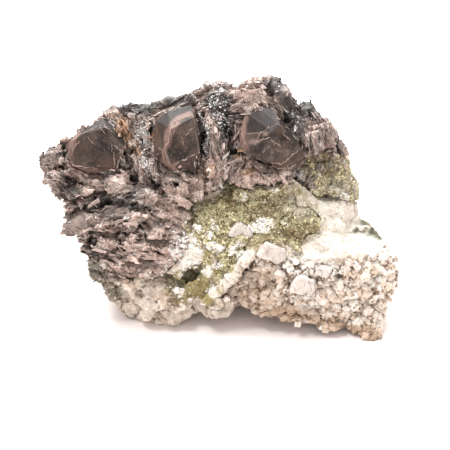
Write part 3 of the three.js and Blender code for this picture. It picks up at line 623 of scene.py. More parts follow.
def scattered(variants, places, turns, sizes, values, rng):
    """One shape of many copies: each place gets a random variant, turned and scaled."""
    choice = rng.integers(len(variants), size=len(places))
    points, faces, gathered = [], [], {}
    start = 0
    for index, variant in enumerate(variants):
        chosen = np.flatnonzero(choice == index)
        if not len(chosen):
            continue
        local = variant.points[None] * sizes[chosen][:, None, :]
        world = np.einsum("nij,nkj->nki", turns[chosen], local) + places[chosen][:, None, :]
        points.append(world.reshape(-1, 3))
        steps = start + np.arange(len(chosen))[:, None, None] * len(variant.points)
        faces.append((variant.faces[None] + steps).reshape(-1, 3))
        start += len(chosen) * len(variant.points)
        for key, value in variant.values.items():
            gathered.setdefault(key, []).append(np.tile(value, len(chosen)))
        for key, value in values.items():
            gathered.setdefault(key, []).append(np.repeat(value[chosen], len(variant.points)))
    joined = {key: np.concatenate(parts) for key, parts in gathered.items()}
    return Shape(np.vstack(points), np.vstack(faces), joined)


def sampled(shapes, density, spacing, rng):
    """For each shape, the centres and normals of some faces, at most one in a cell of spacing.

    density gives each of them a chance from 0 to 1.
    """
    found = []
    for shape in shapes:
        centres = shape.points[shape.faces].mean(axis=1)
        normals = unit(shape.face_normals())
        order = rng.permutation(len(centres))
        # One key for each cell: no piece is as many as 4096 cells long.
        keys = np.floor(centres[order] / spacing).astype(np.int64) @ np.array([1, 4096, 4096**2])
        _, firsts = np.unique(keys, return_index=True)
        kept = order[firsts]
        kept = kept[rng.random(len(kept)) < density(centres[kept], normals[kept])]
        found.append((centres[kept], normals[kept]))
    return found


def stacked(found):
    """All the centres that sampled has found, and all the normals."""
    return (np.vstack(parts) for parts in zip(*found))


def at_random(chance, rng):
    """True at random, as often as each chance says."""
    return rng.random(len(chance)) < chance


def distance_to(points, places):
    """How far each place is from the nearest of the points."""
    tree = KDTree(len(points))
    for index, point in enumerate(points):
        tree.insert(point, index)
    tree.balance()
    return np.array([tree.find(place)[2] for place in places])


# ---- materials
def colour(red, green, blue, light=LIGHT):
    """The linear colour that shows as the 8-bit screen values under the studio light."""
    values = np.array([red, green, blue]) / 255
    linear = np.where(values <= 0.04045, values / 12.92, ((values + 0.055) / 1.055) ** 2.4)
    return tuple(linear / light) + (1.0,)


class Nodes:
    """A node material, built up one link at a time."""

    def __init__(self, name):
        self.material = bpy.data.materials.new(name)
        self.material.use_nodes = True
        self.tree = self.material.node_tree
        self.shader = self.tree.nodes["Principled BSDF"]
        self.place = self.add("ShaderNodeTexCoord").outputs["Object"]

    def add(self, kind, **settings):
        node = self.tree.nodes.new(kind)
        for key, value in settings.items():
            setattr(node, key, value)
        return node

    def feed(self, socket, value):
        """Links an output to a socket, or sets it to a number or to the colour of a triple."""
        if isinstance(value, bpy.types.NodeSocket):
            self.tree.links.new(value, socket)
        else:
            socket.default_value = colour(*value) if np.size(value) == 3 else value

    def attribute(self, name):
        return self.add("ShaderNodeAttribute", attribute_name=name).outputs["Fac"]

    def product(self, first, second):
        node = self.add("ShaderNodeMath", operation="MULTIPLY")
        self.feed(node.inputs[0], first)
        self.feed(node.inputs[1], second)
        return node.outputs[0]

    def ramp(self, value, low, high, to_low=0.0, to_high=1.0):
        node = self.add("ShaderNodeMapRange", interpolation_type="SMOOTHSTEP")
        self.feed(node.inputs["Value"], value)
        node.inputs["From Min"].default_value = low
        node.inputs["From Max"].default_value = high
        node.inputs["To Min"].default_value = to_low
        node.inputs["To Max"].default_value = to_high
        return node.outputs[0]

    def stretched(self, scale, turn):
        """The place, turned and stretched."""
        node = self.add("ShaderNodeMapping")
        self.feed(node.inputs["Vector"], self.place)
        node.inputs["Rotation"].default_value = [math.radians(angle) for angle in turn]
        node.inputs["Scale"].default_value = scale
        return node.outputs[0]

    def stirred(self, size):
        """The place, shaken by noise of the size."""
        node = self.add("ShaderNodeTexNoise")
        self.feed(node.inputs["Vector"], self.place)
        node.inputs["Scale"].default_value = 1 / (size * MM)
        shake = self.add("ShaderNodeVectorMath", operation="MULTIPLY_ADD")
        self.feed(shake.inputs[0], node.outputs["Color"])
        shake.inputs[1].default_value = [size * MM * 0.8] * 3
        self.feed(shake.inputs[2], self.place)
        return shake.outputs[0]

    def noise(self, size, detail=3.0, vector=None):
        """Noise with features about size mm across, centred on 0.5."""
        node = self.add("ShaderNodeTexNoise")
        self.feed(node.inputs["Vector"], vector or self.place)
        node.inputs["Scale"].default_value = 1 / (size * MM)
        node.inputs["Detail"].default_value = detail
        return node.outputs["Fac"]

    def cell_edges(self, size, vector):
        """How near the place is to the edges of cells about size mm across."""
        node = self.add("ShaderNodeTexVoronoi", feature="DISTANCE_TO_EDGE")
        self.feed(node.inputs["Vector"], vector)
        node.inputs["Scale"].default_value = 1 / (size * MM)
        return node.outputs["Distance"]

    def mix(self, share, first, second, blend="MIX"):
        node = self.add("ShaderNodeMix", data_type="RGBA", blend_type=blend)
        self.feed(node.inputs[0], share)
        self.feed(node.inputs[6], first)
        self.feed(node.inputs[7], second)
        return node.outputs[2]

    def layers(self, base, **layers):
        """The base colour with each layer's colour mixed over it by the attribute of its name."""
        for name, over in layers.items():
            base = self.mix(self.attribute(name), base, over)
        return base

    def bump(self, height, strength, distance):
        """Raises bumps as deep as distance mm."""
        node = self.add("ShaderNodeBump")
        self.feed(node.inputs["Height"], height)
        node.inputs["Strength"].default_value = strength
        node.inputs["Distance"].default_value = distance * MM
        self.feed(self.shader.inputs["Normal"], node.outputs[0])

    def finish(self, base, roughness, specular):
        self.feed(self.shader.inputs["Base Color"], base)
        self.feed(self.shader.inputs["Roughness"], roughness)
        self.shader.inputs["Specular IOR Level"].default_value = specular
        return self.material

    def worn(self, base, size, shades, bump, roughness, specular, detail=4.0):
        """Finishes the material with its base colour under fine noise, which also raises bumps.

        shades, and roughness where it is a pair, go with the noise from its low to its high parts.
        """
        fine = self.noise(size, detail)
        base = self.mix(1.0, base, self.ramp(fine, 0.3, 0.7, *shades), blend="MULTIPLY")
        self.bump(fine, *bump)
        if isinstance(roughness, tuple):
            roughness = self.ramp(fine, 0.3, 0.7, *roughness)
        return self.finish(base, roughness, specular)


def rock_material():
    nodes = Nodes("matrix_rock")
    patches = nodes.ramp(nodes.noise(4.0), 0.35, 0.65)
    stains = nodes.ramp(nodes.noise(9.0, 4.0), 0.42, 0.62)
    base = nodes.layers(
        nodes.mix(patches, (250, 238, 222), (236, 212, 188)),
        white=(247, 239, 226),
        foot=(224, 211, 196),
        pale=(208, 198, 168),
        brown=(168, 140, 118),
        green=(164, 151, 102),
        back=nodes.mix(stains, (176, 160, 142), (130, 110, 92)),
        # dark: painted shade, dark olive
        dark=(80, 80, 56),
        # recess: painted shade in the rock's hollows
        recess=(118, 92, 72),
    )
    edges = nodes.cell_edges(3.2, nodes.stirred(1.5))
    cracks = nodes.product(nodes.ramp(edges, 0.0, 0.06, 0.7, 0.0), nodes.attribute("white"))
    base = nodes.mix(nodes.product(cracks, patches), base, (168, 136, 108))
    return nodes.worn(base, 0.5, (0.8, 1.12), (0.7, 0.3), 0.72, 0.4)


def crust_material():
    nodes = Nodes("axinite_crust")
    patches = nodes.ramp(nodes.noise(3.0), 0.38, 0.62)
    base = nodes.layers(
        nodes.mix(patches, (150, 126, 118), (104, 88, 82)),
        pink=(204, 178, 166),
        # light: painted highlight on the raised plates, and cream and white fringe
        light=(226, 208, 196),
        bevel=(146, 118, 108),
        # dim: darker tone and painted shade
        dim=(104, 94, 86),
        green=(150, 138, 84),
        shade=(92, 92, 66),
        rust=(180, 134, 94),
        frost=(196, 192, 186),
        black=(56, 55, 51),
        # recess: painted shade between plates and in hollows
        recess=(38, 32, 29),
    )
    return nodes.worn(base, 0.45, (0.6, 1.35), (0.6, 0.2), (0.4, 0.7), 0.4)


def lath_material():
    nodes = Nodes("axinite_laths")
    base = nodes.mix(nodes.attribute("own"), (66, 55, 51), (234, 208, 196))
    # Painted highlight along each lath's rim.
    edge = nodes.product(nodes.ramp(nodes.attribute("edge"), 0.4, 1.0), 0.65)
    base = nodes.mix(edge, base, (238, 222, 212))
    grey = nodes.ramp(nodes.attribute("hue"), 0.6, 0.8, 0.0, 0.7)
    base = nodes.mix(grey, base, (122, 118, 112))
    warm = nodes.ramp(nodes.attribute("hue"), 0.4, 0.15, 0.0, 0.5)
    base = nodes.mix(warm, base, (156, 116, 98))
    base = nodes.layers(base, rust=(188, 140, 98), frost=(222, 220, 216), black=(52, 52, 49))
    return nodes.worn(base, 0.35, (0.75, 1.2), (0.3, 0.1), (0.3, 0.6), 0.4, detail=3.0)


def crystal_material():
    nodes = Nodes("axinite_crystal")
    cloud = nodes.ramp(nodes.noise(5.0, 4.0), 0.35, 0.7)
    base = nodes.mix(cloud, (50, 42, 38), (98, 85, 77))
    edges = nodes.cell_edges(2.6, nodes.stretched((1, 1, 0.3), (20, 35, 10)))
    lines = nodes.ramp(edges, 0.0, 0.02, 0.6, 0.0)
    sparse = nodes.ramp(nodes.noise(3.0, 2.0), 0.5, 0.62)
    base = nodes.mix(nodes.product(lines, sparse), base, (130, 112, 104))
    for turn in ((25, 60, 0), (70, 15, 40), (10, 80, 70)):
        streak = nodes.noise(0.5, 1.0, nodes.stretched((1, 1, 0.08), turn))
        scratch = nodes.ramp(streak, 0.67, 0.75, 0.0, 0.4)
        base = nodes.mix(scratch, base, (150, 132, 124))
    # edge: painted highlight along the edges; top: painted shade on the upward facets; pink: the bevels'
    # pink tone with a painted highlight.
    base = nodes.layers(
        base, brown=(90, 73, 64), edge=(146, 126, 118), top=(27, 22, 20), pink=(130, 104, 95)
    )
    return nodes.worn(base, 0.45, (0.65, 1.3), (0.25, 0.15), (0.4, 0.65), 0.16)


def epidote_material():
    nodes = Nodes("epidote_grains")
    base = nodes.layers(
        nodes.mix(nodes.attribute("own"), (128, 110, 62), (255, 248, 204)),
        brown=(126, 102, 66),
        pale=(216, 206, 184),
        white=colour(255, 252, 246, light=1.15),
        # recess: painted shade between the grains
        recess=(60, 54, 36),
    )
    return nodes.worn(base, 0.4, (0.7, 1.25), (0.4, 0.12), 0.45, 0.5, detail=3.0)


def grain_material():
    nodes = Nodes("matrix_grains")
    base = nodes.layers(
        nodes.mix(nodes.attribute("own"), (238, 214, 192), (255, 250, 242)),
        white=colour(255, 252, 248, light=1.25),
        green=(158, 146, 92),
        brown=(196, 168, 142),
    )
    return nodes.worn(base, 0.5, (0.86, 1.06), (0.4, 0.15), 0.55, 0.4)


def calcite_material():
    nodes = Nodes("calcite")
    cloud = nodes.ramp(nodes.noise(2.0, 3.0), 0.35, 0.7)
    base = nodes.mix(cloud, colour(255, 248, 240, light=1.25), colour(255, 240, 228, light=1.35))
    base = nodes.mix(nodes.product(nodes.attribute("split"), 0.3), base, (200, 176, 158))
    nodes.shader.inputs["Transmission Weight"].default_value = 0.3
    nodes.shader.inputs["IOR"].default_value = 1.6
    nodes.bump(nodes.noise(1.0, 2.0), 0.15, 0.15)
    return nodes.finish(base, 0.16, 0.5)


# ---- the matrix
def matrix_relief(p, normals):
    """Heights of the matrix's roughness, and the masks for its colours."""
    front = frontal(p)
    view = Display(p, 5.0)
    behind = step(44, 50, p[:, 2]) * step(6, 10, p[:, 1])
    granular = view.within(GRANULAR, 5) * front
    slope = view.within(SLOPE, 6) * front
    sugary = view.within(SUGARY, 5) * front
    foot = view.within(FOOT, 5) * front
    away, margin, mark = cells(p, BLOCK_SIZE, 101)
    small_away, small_margin, small_mark = cells(p, CRUMB_SIZE, 111)
    blocky = (mark - 0.5) * 0.9 + (0.45 - away) * 2.0
    crumb = (small_mark - 0.5) * 0.4 + (0.45 - small_away) * 0.6
    height = fractal(p, 9.0, 121) * 0.5 + crumb * (0.8 + 0.4 * sugary - 0.4 * slope)
    height += blocky * np.maximum.reduce([granular, 0.8 * (1 - front), 0.35 * slope])
    lumps = fractal(p, 1.8, 145)
    height += fractal(p, 2.5, 131) * 0.25 + lumps * 0.5 * foot
    pits = step(0.16, 0.0, np.abs(fractal(p, 4.5, 141))) * foot
    height -= pits * 0.7
    gaps = step(0.14, 0.0, margin) * step(0.8, 0.3, mark) + step(0.1, 0.0, small_margin) * 0.3
    veins = step(0.1, 0.0, margin) * patchy(p, 7.0, 171, -0.1, 0.5) * slope
    cavities = view.over([SLOT]) * front
    plain = Display(p)
    seam = plain.along(RIDGE, 4.5) * front
    shade = plain.along(RIDGE_SHADE, 3.5) * front
    crack = plain.along(CRACK, 2.4) * front
    height += seam * 1.5 - shade * 1.8 - cavities * 1.6 - crack * 1.3
    blobs = Display(p, 2.0).over(WHITE_BLOBS, 0.2) * front
    pale = view.within(PALE_SKIN, 8)
    white = slope * 0.9 + sugary + blobs + seam + 0.3 * (1 - granular)
    green = (view.within(GREEN_FLOOR, 5) * 0.8 + view.over(GREEN_SPOTS) * 0.8) * (1 - blobs)
    green += sugary * patchy(p, 2.6, 151, 0.0, 0.15) * (1 - blobs) * 0.95
    green += view.skins(12) * front * 0.8 + pale * patchy(p, 1.6, 155, 0.1, 0.4) * 0.7
    # Painted shade: the rock is darkened in its gaps, pits, cracks and veins, beside the ridge and between
    # the grains of the granular zone.
    recess = (granular + 0.6 * (1 - front)) * gaps * 0.8 + granular * 0.5 + shade * 0.7 + crack
    recess += pits * 0.7 + step(0.1, -0.3, lumps) * foot * 0.2 + veins * 0.5
    values = {
        "white": np.clip(white, 0, 1) * (1 - foot * 0.7 - seam * 0.2),
        "foot": foot * patchy(p, 5.0, 161, 0.5, -0.4),
        "pale": pale * front * patchy(p, 1.6, 155, -0.5, 0.1),
        # brown: brown tints, with painted shade along the bottom edges
        "brown": np.clip(view.over(BROWN_EDGE_AND_SHADE) * 0.6 + view.over(BROWN_SPOTS) * 0.5, 0, 1) * front,
        "green": np.clip(green, 0, 1) * front,
        # Painted shade, dark olive: down the foot's left side, in the slot, and in the notch, which is
        # partly dark green.
        "dark": np.clip(view.over(FOOT_SHADE) * 0.8 + view.over(GREEN_NOTCH) + cavities, 0, 1) * front,
        "back": np.maximum(1 - front, behind),
        "recess": np.clip(recess, 0, 1),
    }
    return height, values


def matrix_grains(rock, calcite):
    """Grains on the rock, with white crumbs round the calcite."""
    rng = np.random.default_rng(201)

    def density(p, n):
        view = Display(p, 4.0)
        front = frontal(p)
        share = view.within(GRANULAR) + view.within(SUGARY) * 0.9 + view.within(SLOPE) * 0.25
        share += view.within(PALE_SKIN) - view.within(EPIDOTE, 6) - view.within(EPIDOTE_RIGHT, 6)
        share += 2 * Display(p).along(RIGHT_EDGE, 6.0)
        share += view.within(FOOT) * 0.5 - 2 * Display(p).along(CRACK, 3.0)
        share -= 0.7 * view.along(RIDGE, 4.0) + view.over([SLOT], 0.3) + view.over(GREEN_NOTCH)
        share += step(CRUMB_REACH, CRUMB_REACH / 2, distance_to(calcite, p))
        return np.maximum(lit(n) * front * np.clip(share, 0, 1), 0.3 * (1 - front))

    places, normals = stacked(sampled([rock], density, MATRIX_GRAIN_SPACING, rng))
    count = len(places)
    view = Display(places, 4.0)
    coarse = view.within(GRANULAR, 6)
    blobs = view.over(WHITE_BLOBS, 0.3)
    size = rng.gamma(2.0, 0.45, count) * (0.45 + 1.1 * coarse + 0.4 * blobs) + 0.4 + 0.3 * coarse
    crumbs = step(CRUMB_REACH, CRUMB_REACH / 2, distance_to(calcite, places))
    size = np.clip(size, GRAIN_SIZES[0], GRAIN_SIZES[1] - 2.2 * crumbs)
    turns = any_axes(count, rng)
    sizes = size[:, None] * rng.uniform(0.7, 1.1, (count, 3))
    sugary = view.within(SUGARY, 6)
    green = view.within(GREEN_FLOOR) * 0.5 + view.over(GREEN_SPOTS) + sugary * 0.15
    green = green + view.within(PALE_SKIN) * 0.4 + view.within(EPIDOTE, 12) * 0.8
    green = (green + view.within(EPIDOTE_RIGHT, 12) * 0.8) * (1 - blobs)
    behind = 1 - frontal(places)
    values = {
        "own": rng.random(count),
        "white": np.clip(view.within(SLOPE, 6) * 0.5 + sugary + crumbs * 0.4, 0, 1) * 0.85,
        "green": at_random(green, rng) * rng.uniform(0.5, 1.0, count),
        # brown: brown tints and painted shade along the bottom edges, and the rock's back
        "brown": np.maximum.reduce([view.over(BROWN_EDGE_AND_SHADE), view.over(BROWN_SPOTS) * 0.6, behind]),
    }
    variants = grain_variants(12, 12, 202)
    sunk = places - normals * size[:, None] * 0.2
    return scattered(variants, sunk, turns, sizes, values, rng)


def make_matrix(material, grains, calcite):
    """The rock and its grains."""
    rock = roughened(remeshed("matrix", MATRIX_VOXEL), matrix_relief)
    make_piece("matrix_rock", rock, material, ["matrix"])
    make_piece("matrix_grains", matrix_grains(rock, calcite), grains)
    return rock


# ---- the crust
def plates(p, rise, thickness, length, seed):
    """Cellular noise squashed into plates that rise across the picture; gives margin and mark."""
    angle = math.radians(rise)
    along = RIGHT * math.cos(angle) + UP * math.sin(angle)
    across = UP * math.cos(angle) - RIGHT * math.sin(angle)
    q = np.stack([p @ across / thickness, p @ along / length, p @ AHEAD / length], axis=1)
    _, margin, mark = cells(q, 1.0, seed)
    return margin, mark


def layered(p, rise):
    """The margin and mark of thick plates, and the mark of thin ones, that lie near the rise."""
    found = np.zeros((3, len(p)))
    nearest = np.full(len(p), np.inf)
    for index, turn in enumerate(PLATE_RISES):
        apart = np.abs(np.sin(rise - math.radians(turn)))
        thick = plates(p, turn, *THICK_PLATES, 311 + 10 * index)
        thin = plates(p, turn, *THIN_PLATES, 312 + 10 * index)
        found = np.where(apart < nearest, [*thick, thin[1]], found)
        nearest = np.minimum(nearest, apart)
    return found


def crust_relief(p, normals):
    """Heights of the crust's plates and hollows, and the masks for its colours."""
    front = frontal(p)
    view = Display(p, 4.0)
    rise, stray = view.flow()
    tidy = step(0.5, 0.2, stray)
    warped = p + 0.6 * np.stack([noise(p, 6.0, seed) for seed in (301, 302, 303)], axis=1)
    margin, mark, streak = layered(warped, rise)
    fine_mark = cells(warped, 0.9, 361)[2]
    bevels = view.bevels() * front
    hollow = view.over(HOLLOWS) * front * (1 - bevels)
    smooth = np.maximum(view.over(SMOOTH) * front, bevels)
    height = (mark - 0.5) * (2.0 + 0.8 * tidy) * (1 - 0.6 * smooth)
    height += (fine_mark - 0.5) * 0.4 * (1 - smooth) + (streak - 0.5) * 0.5 * (1 - 0.7 * smooth)
    height += fractal(p, 6.0, 371) * 0.6
    crack = Display(p).along(CRACK, 2.2) * front
    height += view.over(BULGES) * 1.5 - hollow * 1.8 - crack
    ledges = view.within(LEDGES, 12) * front
    low = view.within(LOWER_CRUST, 12) * front
    fringe = view.within(WHITE_FRINGE, 14)
    # Painted shade between the plates, in the hollows and in the crack.
    recess = step(0.25, 0.02, mark) * (0.6 - 0.2 * ledges) + crack
    recess += step(0.1, 0.0, margin) * (0.2 + 0.4 * ledges)
    tint = patchy(p, 5.0, 381, 0.1, -0.4)
    values = {
        "pink": np.clip(view.over(PINK) * 0.9 + 0.3 * tint + 0.5 * low, 0, 1) * front * (1 - bevels),
        # bevel: the crust over the crystals' bevels, in their paler tone with a painted highlight
        "bevel": bevels * 0.8,
        "dim": view.over(DIM_AND_SHADE) * front * 0.7,
        "shade": view.over(FOOT_SHADE) * front * 0.8,
        # light: a painted highlight on the tops of the raised plates, and the cream spots and white
        # fringe.
        "light": np.maximum(
            step(0.6, 0.95, mark) * 0.3 + step(0.5, 1.0, streak) * 0.5,
            np.maximum(view.over(CREAM) * 0.9, fringe * 0.9) * front,
        ),
        "green": view.skins(10) * front * 0.8,
        "rust": view.over(RUST) * front * 0.7 * patchy(p, 1.6, 391, -0.4, 0.2),
        "frost": view.over(FROST) * front * step(0.5, 0.9, fine_mark),
        "black": np.maximum(view.over(BLACK) * front, 0.35 * (1 - front)) * 0.85,
        "recess": np.clip(np.maximum(recess * 0.85, hollow), 0, 1) * (1 - 0.9 * fringe),
    }
    return height, values


def rough_relief(p, normals):
    """The crust's relief, weaker, for the small crystals."""
    height, values = crust_relief(p, normals)
    return height * 0.45, values


def make_crust(material):
    """The crust, and the small crystals that look like it."""
    crust = roughened(remeshed("axinite_crust", CRUST_VOXEL), crust_relief)
    make_piece("axinite_crust_mass", crust, material, ["axinite_crust"])
    rough = []
    for name in ROUGH_CRYSTALS:
        shape = roughened(remeshed(name, ROUGH_VOXEL), rough_relief)
        make_piece(name + "_rough", shape, material, [name])
        rough.append(shape)
    return crust, rough


def lath_places(crust, rough, crystals, skins, rng):
    """Places all over the crust and the small crystals, and over the edges of their neighbours."""

    def density(p, n):
        view = Display(p, 2.0)
        smooth = np.maximum(view.over(SMOOTH, 0.3) * 0.85, view.bevels() * 0.8)
        bare = np.maximum(view.over(HOLLOWS, 0.3) * 0.9, smooth)
        bare = np.maximum(bare, Display(p).along(CRACK, 3.0))
        tidy = step(0.6, 0.2, view.flow()[1])
        sparse = (1 - 0.65 * turned_away(n)) * (1 - 0.45 * view.within(LEDGES, 12))
        return frontal(p) * (1 - bare) * (0.95 - 0.3 * tidy) * sparse

    def border(p, n):
        bare = 1 - 0.8 * Display(p, 2.0).bevels()
        near = step(BORDER, BORDER / 2, distance_to(crust.points, p)) * bare
        return frontal(p) * near * 0.8

    def straggling(p, n):
        return frontal(p) * step(LATH_REACH, LATH_REACH / 4, distance_to(crust.points, p)) * 0.5

    found = sampled([crust] + rough, density, LATH_SPACING, rng)
    found += sampled(crystals, border, LATH_SPACING, rng)
    found += sampled(skins, straggling, LATH_SPACING, rng)
    return stacked(found)


def lath_turns(rise, tidy, ledges, crest, normals, rng):
    """The laths' axes: along the rise and the surface, flat on it or on edge.

    crest is 1 where the surface faces up. Laths lie flat there.
    """
    count = len(rise)
    along = np.cos(rise)[:, None] * RIGHT + np.sin(rise)[:, None] * UP
    along += (rng.normal(size=(count, 1)) * (0.12 + 0.3 * (1 - tidy))[:, None]) * AHEAD
    across = np.cos(rise)[:, None] * UP - np.sin(rise)[:, None] * RIGHT
    edgewise = rng.random(count) < (0.25 + 0.35 * tidy) * (1 - 0.7 * ledges)
    flat = normals + rng.normal(size=(count, 3)) * (0.28 - 0.1 * ledges)[:, None]
    facing = np.where(edgewise[:, None], across + rng.normal(size=(count, 3)) * 0.25, flat)
    facing = unit(facing) * (1 - crest) + flat * crest
    along = along - np.sum(along * normals, axis=1)[:, None] * normals
    along = unit(along + rng.normal(size=(count, 3)) * 0.05) + normals * rng.normal(0, 0.12, (count, 1))
    return axes_from(facing, along)


def lath_sizes(tidy, ledges, crest, turned, rng):
    """Lengths, widths and thicknesses; turned is 1 where the surface turns away."""
    count = len(tidy)
    coarse = rng.random(count) < 0.06 + 0.1 * tidy + 0.25 * ledges
    length = rng.gamma(3.0, 0.36, count) * (0.8 + 0.8 * tidy) + 0.3 + coarse
    length = np.clip(length, *LATH_LENGTHS) * (1 - 0.65 * crest[:, 0]) * (1 - 0.5 * turned)
    width = rng.gamma(3.0, 0.06, count) + 0.14 + 0.8 * coarse
    width = np.clip(width, *LATH_WIDTHS) * (1 - 0.4 * turned)
    thickness = rng.uniform(0.12, 0.24, count) + 0.35 * coarse
    return np.stack([length, width, thickness], axis=1)


def lath_values(places, view, ledges, crest, rng):
    """The numbers that colour each lath."""
    count = len(places)
    fringe = view.within(WHITE_FRINGE, 12)
    black = np.clip(view.over(BLACK) * 0.85 + 0.1 - 0.07 * ledges, 0, 1)
    # Laths on surfaces that face up are darker: painted shade on the tops.
    own = rng.beta(1.3, 1.4, count) * (1 - 0.4 * crest[:, 0])
    own = own + 0.2 * view.over(PINK) + 0.6 * view.within(LOWER_CRUST, 12)
    # Laths are darker in the dim spots too: darker tone and painted shade.
    own += 0.6 * fringe - 0.5 * view.over(DIM_AND_SHADE)
    return {
        "own": np.clip(own, 0, 1),
        "hue": np.clip(rng.random(count) * 0.6 + 0.5 + 0.5 * fractal(places, 5.0, 411) - 0.3, 0, 1),
        "rust": at_random(view.over(RUST) * 0.8, rng) * 0.8,
        "frost": at_random(view.over(FROST) * 0.6 + 0.03, rng) * 0.8,
        "black": at_random(black * (1 - fringe), rng) * 0.85,
    }


def make_laths(crust, rough, crystals, skins, material):
    """The laths, as three pieces side by side."""
    rng = np.random.default_rng(401)
    places, normals = lath_places(crust, rough, crystals, skins, rng)
    view = Display(places, 3.0)
    rise, stray = view.flow()
    rise = rise + rng.normal(size=len(places)) * stray
    tidy = step(0.6, 0.2, stray)
    ledges = view.within(LEDGES, 12)
    crest = step(0.3, 0.8, normals[:, 2])[:, None]
    turns = lath_turns(rise, tidy, ledges, crest, normals, rng)
    sizes = lath_sizes(tidy, ledges, crest, turned_away(normals), rng)
    values = lath_values(places, view, ledges, crest, rng)
    lifted = places + normals * rng.uniform(-0.1, 0.2, (len(places), 1)) * (1 - 0.6 * crest)
    variants = lath_variants(10, 402)
    for index, part in enumerate(np.array_split(np.argsort(places[:, 0]), 3)):
        own_values = {key: value[part] for key, value in values.items()}
        shape = scattered(variants, lifted[part], turns[part], sizes[part], own_values, rng)
        make_piece(f"axinite_laths_{index + 1}", shape, material)


def make_sparkles(shapes, material):
    """White grains on the shapes, partly white specks and partly painted glints, and green ones on the
    skins.
    """
    rng = np.random.default_rng(451)

    def density(p, n):
        view = Display(p, 3.0)
        share = 1.8 * view.over(GLITTER) + view.within(FRINGE, 8) * 0.1 + view.over(WHITE_BLOBS, 0.3)
        share += view.within(WHITE_FRINGE, 10) * 0.7 - view.over(DIM_AND_SHADE) * 0.5
        share -= 2 * Display(p).along(CRACK, 3.0)
        return frontal(p) * np.clip(share + 0.01, 0, 1) * (1 - turned_away(n))

    places, normals = stacked(sampled(shapes, density, SPARKLE_SPACING, rng))
    count = len(places)
    turns = any_axes(count, rng)
    view = Display(places, 3.0)
    fringe = view.within(WHITE_FRINGE, 10)
    skin = view.skins(8)
    sizes = rng.uniform(0.25, 0.7, count) + fringe * rng.uniform(0.2, 0.9, count) + skin * 0.2
    sizes = sizes[:, None] * rng.uniform(0.5, 1.6, (count, 3))
    green = at_random(skin * 0.9, rng)
    values = {
        "own": rng.random(count),
        "white": 0.9 * (1 - green),
        "green": green * 0.9,
        "brown": np.zeros(count),
    }
    variants = grain_variants(6, 7, 452)
    shape = scattered(variants, places + normals * 0.2, turns, sizes, values, rng)
    make_piece("axinite_crust_sparkles", shape, material)


def make_strokes(shapes, material):
    """Thin slivers that follow the strokes over the nearest surfaces that the picture shows."""
    rng = np.random.default_rng(471)
    points = np.vstack([shape.points for shape in shapes])
    normals = np.vstack([shape.normals() for shape in shapes])
    shown = normals @ AHEAD < -0.1
    points, normals = points[shown], normals[shown]
    at = seen(points)
    depth = (points - CAMERA_AT) @ AHEAD
    nearest, alongs, lengths = [], [], []
    for stroke in STROKES:
        for (x1, y1), (x2, y2) in zip(stroke, stroke[1:]):
            reach = math.hypot(x2 - x1, y2 - y1)
            pieces = max(1, round(reach / SLIVER_REACH))
            for share in (np.arange(pieces) + 0.5) / pieces:
                spot = np.array([x1 + (x2 - x1) * share, y1 + (y2 - y1) * share])
                aside = np.linalg.norm(at - spot, axis=1)
                nearest.append(np.argmin(aside * ASIDE_COST + depth))
                alongs.append(RIGHT * (x2 - x1) - UP * (y2 - y1))
                lengths.append(reach / pieces / UNITS_PER_MM * rng.uniform(1.0, 1.5))
    count = len(lengths)
    sizes = np.stack([lengths, rng.uniform(0.1, 0.24, count), rng.uniform(0.1, 0.2, count)], axis=1)
    values = {"own": rng.uniform(0.4, 0.9, count)}
    values.update({key: np.zeros(count) for key in ("hue", "rust", "frost", "black")})
    facing = normals[nearest] + rng.normal(size=(count, 3)) * 0.2
    turns = axes_from(facing, np.array(alongs))
    places = points[nearest] + normals[nearest] * 0.05
    shape = scattered(lath_variants(4, 472), places, turns, sizes, values, rng)
    make_piece("axinite_slivers", shape, material)


# ---- the epidote skins
def epidote_relief(p, normals):
    """Heights of the skins' grains, and the masks for their colours."""
    view = Display(p, 3.0)
    _, margin, mark = cells(p, SKIN_GRAIN_SIZE, 501)
    height = (mark - 0.5) * 0.6 + fractal(p, 3.0, 511) * 0.35 + 0.15
    shade = 0.4 * view.over(EPIDOTE_SHADE)
    pale = np.maximum(view.within(PALE_SKIN, 8), view.over(PALE_SPOTS))
    values = {
        "own": np.clip(mark * 0.7 + 0.1 + 0.3 * fractal(p, 4.0, 531) - shade, 0, 1),
        "pale": pale * patchy(p, 1.4, 541, -0.3, 0.2),
        "brown": patchy(p, 2.4, 551, 0.05, 0.45) * 0.6,
        "white": np.maximum(view.over(WHITE_BLOBS, 0.2), patchy(p, 3.4, 521, 0.55, 0.8) * 0.7),
        # Painted shade in the gaps between the grains.
        "recess": step(0.12, 0.0, margin) * 0.7,
    }
    return height, values


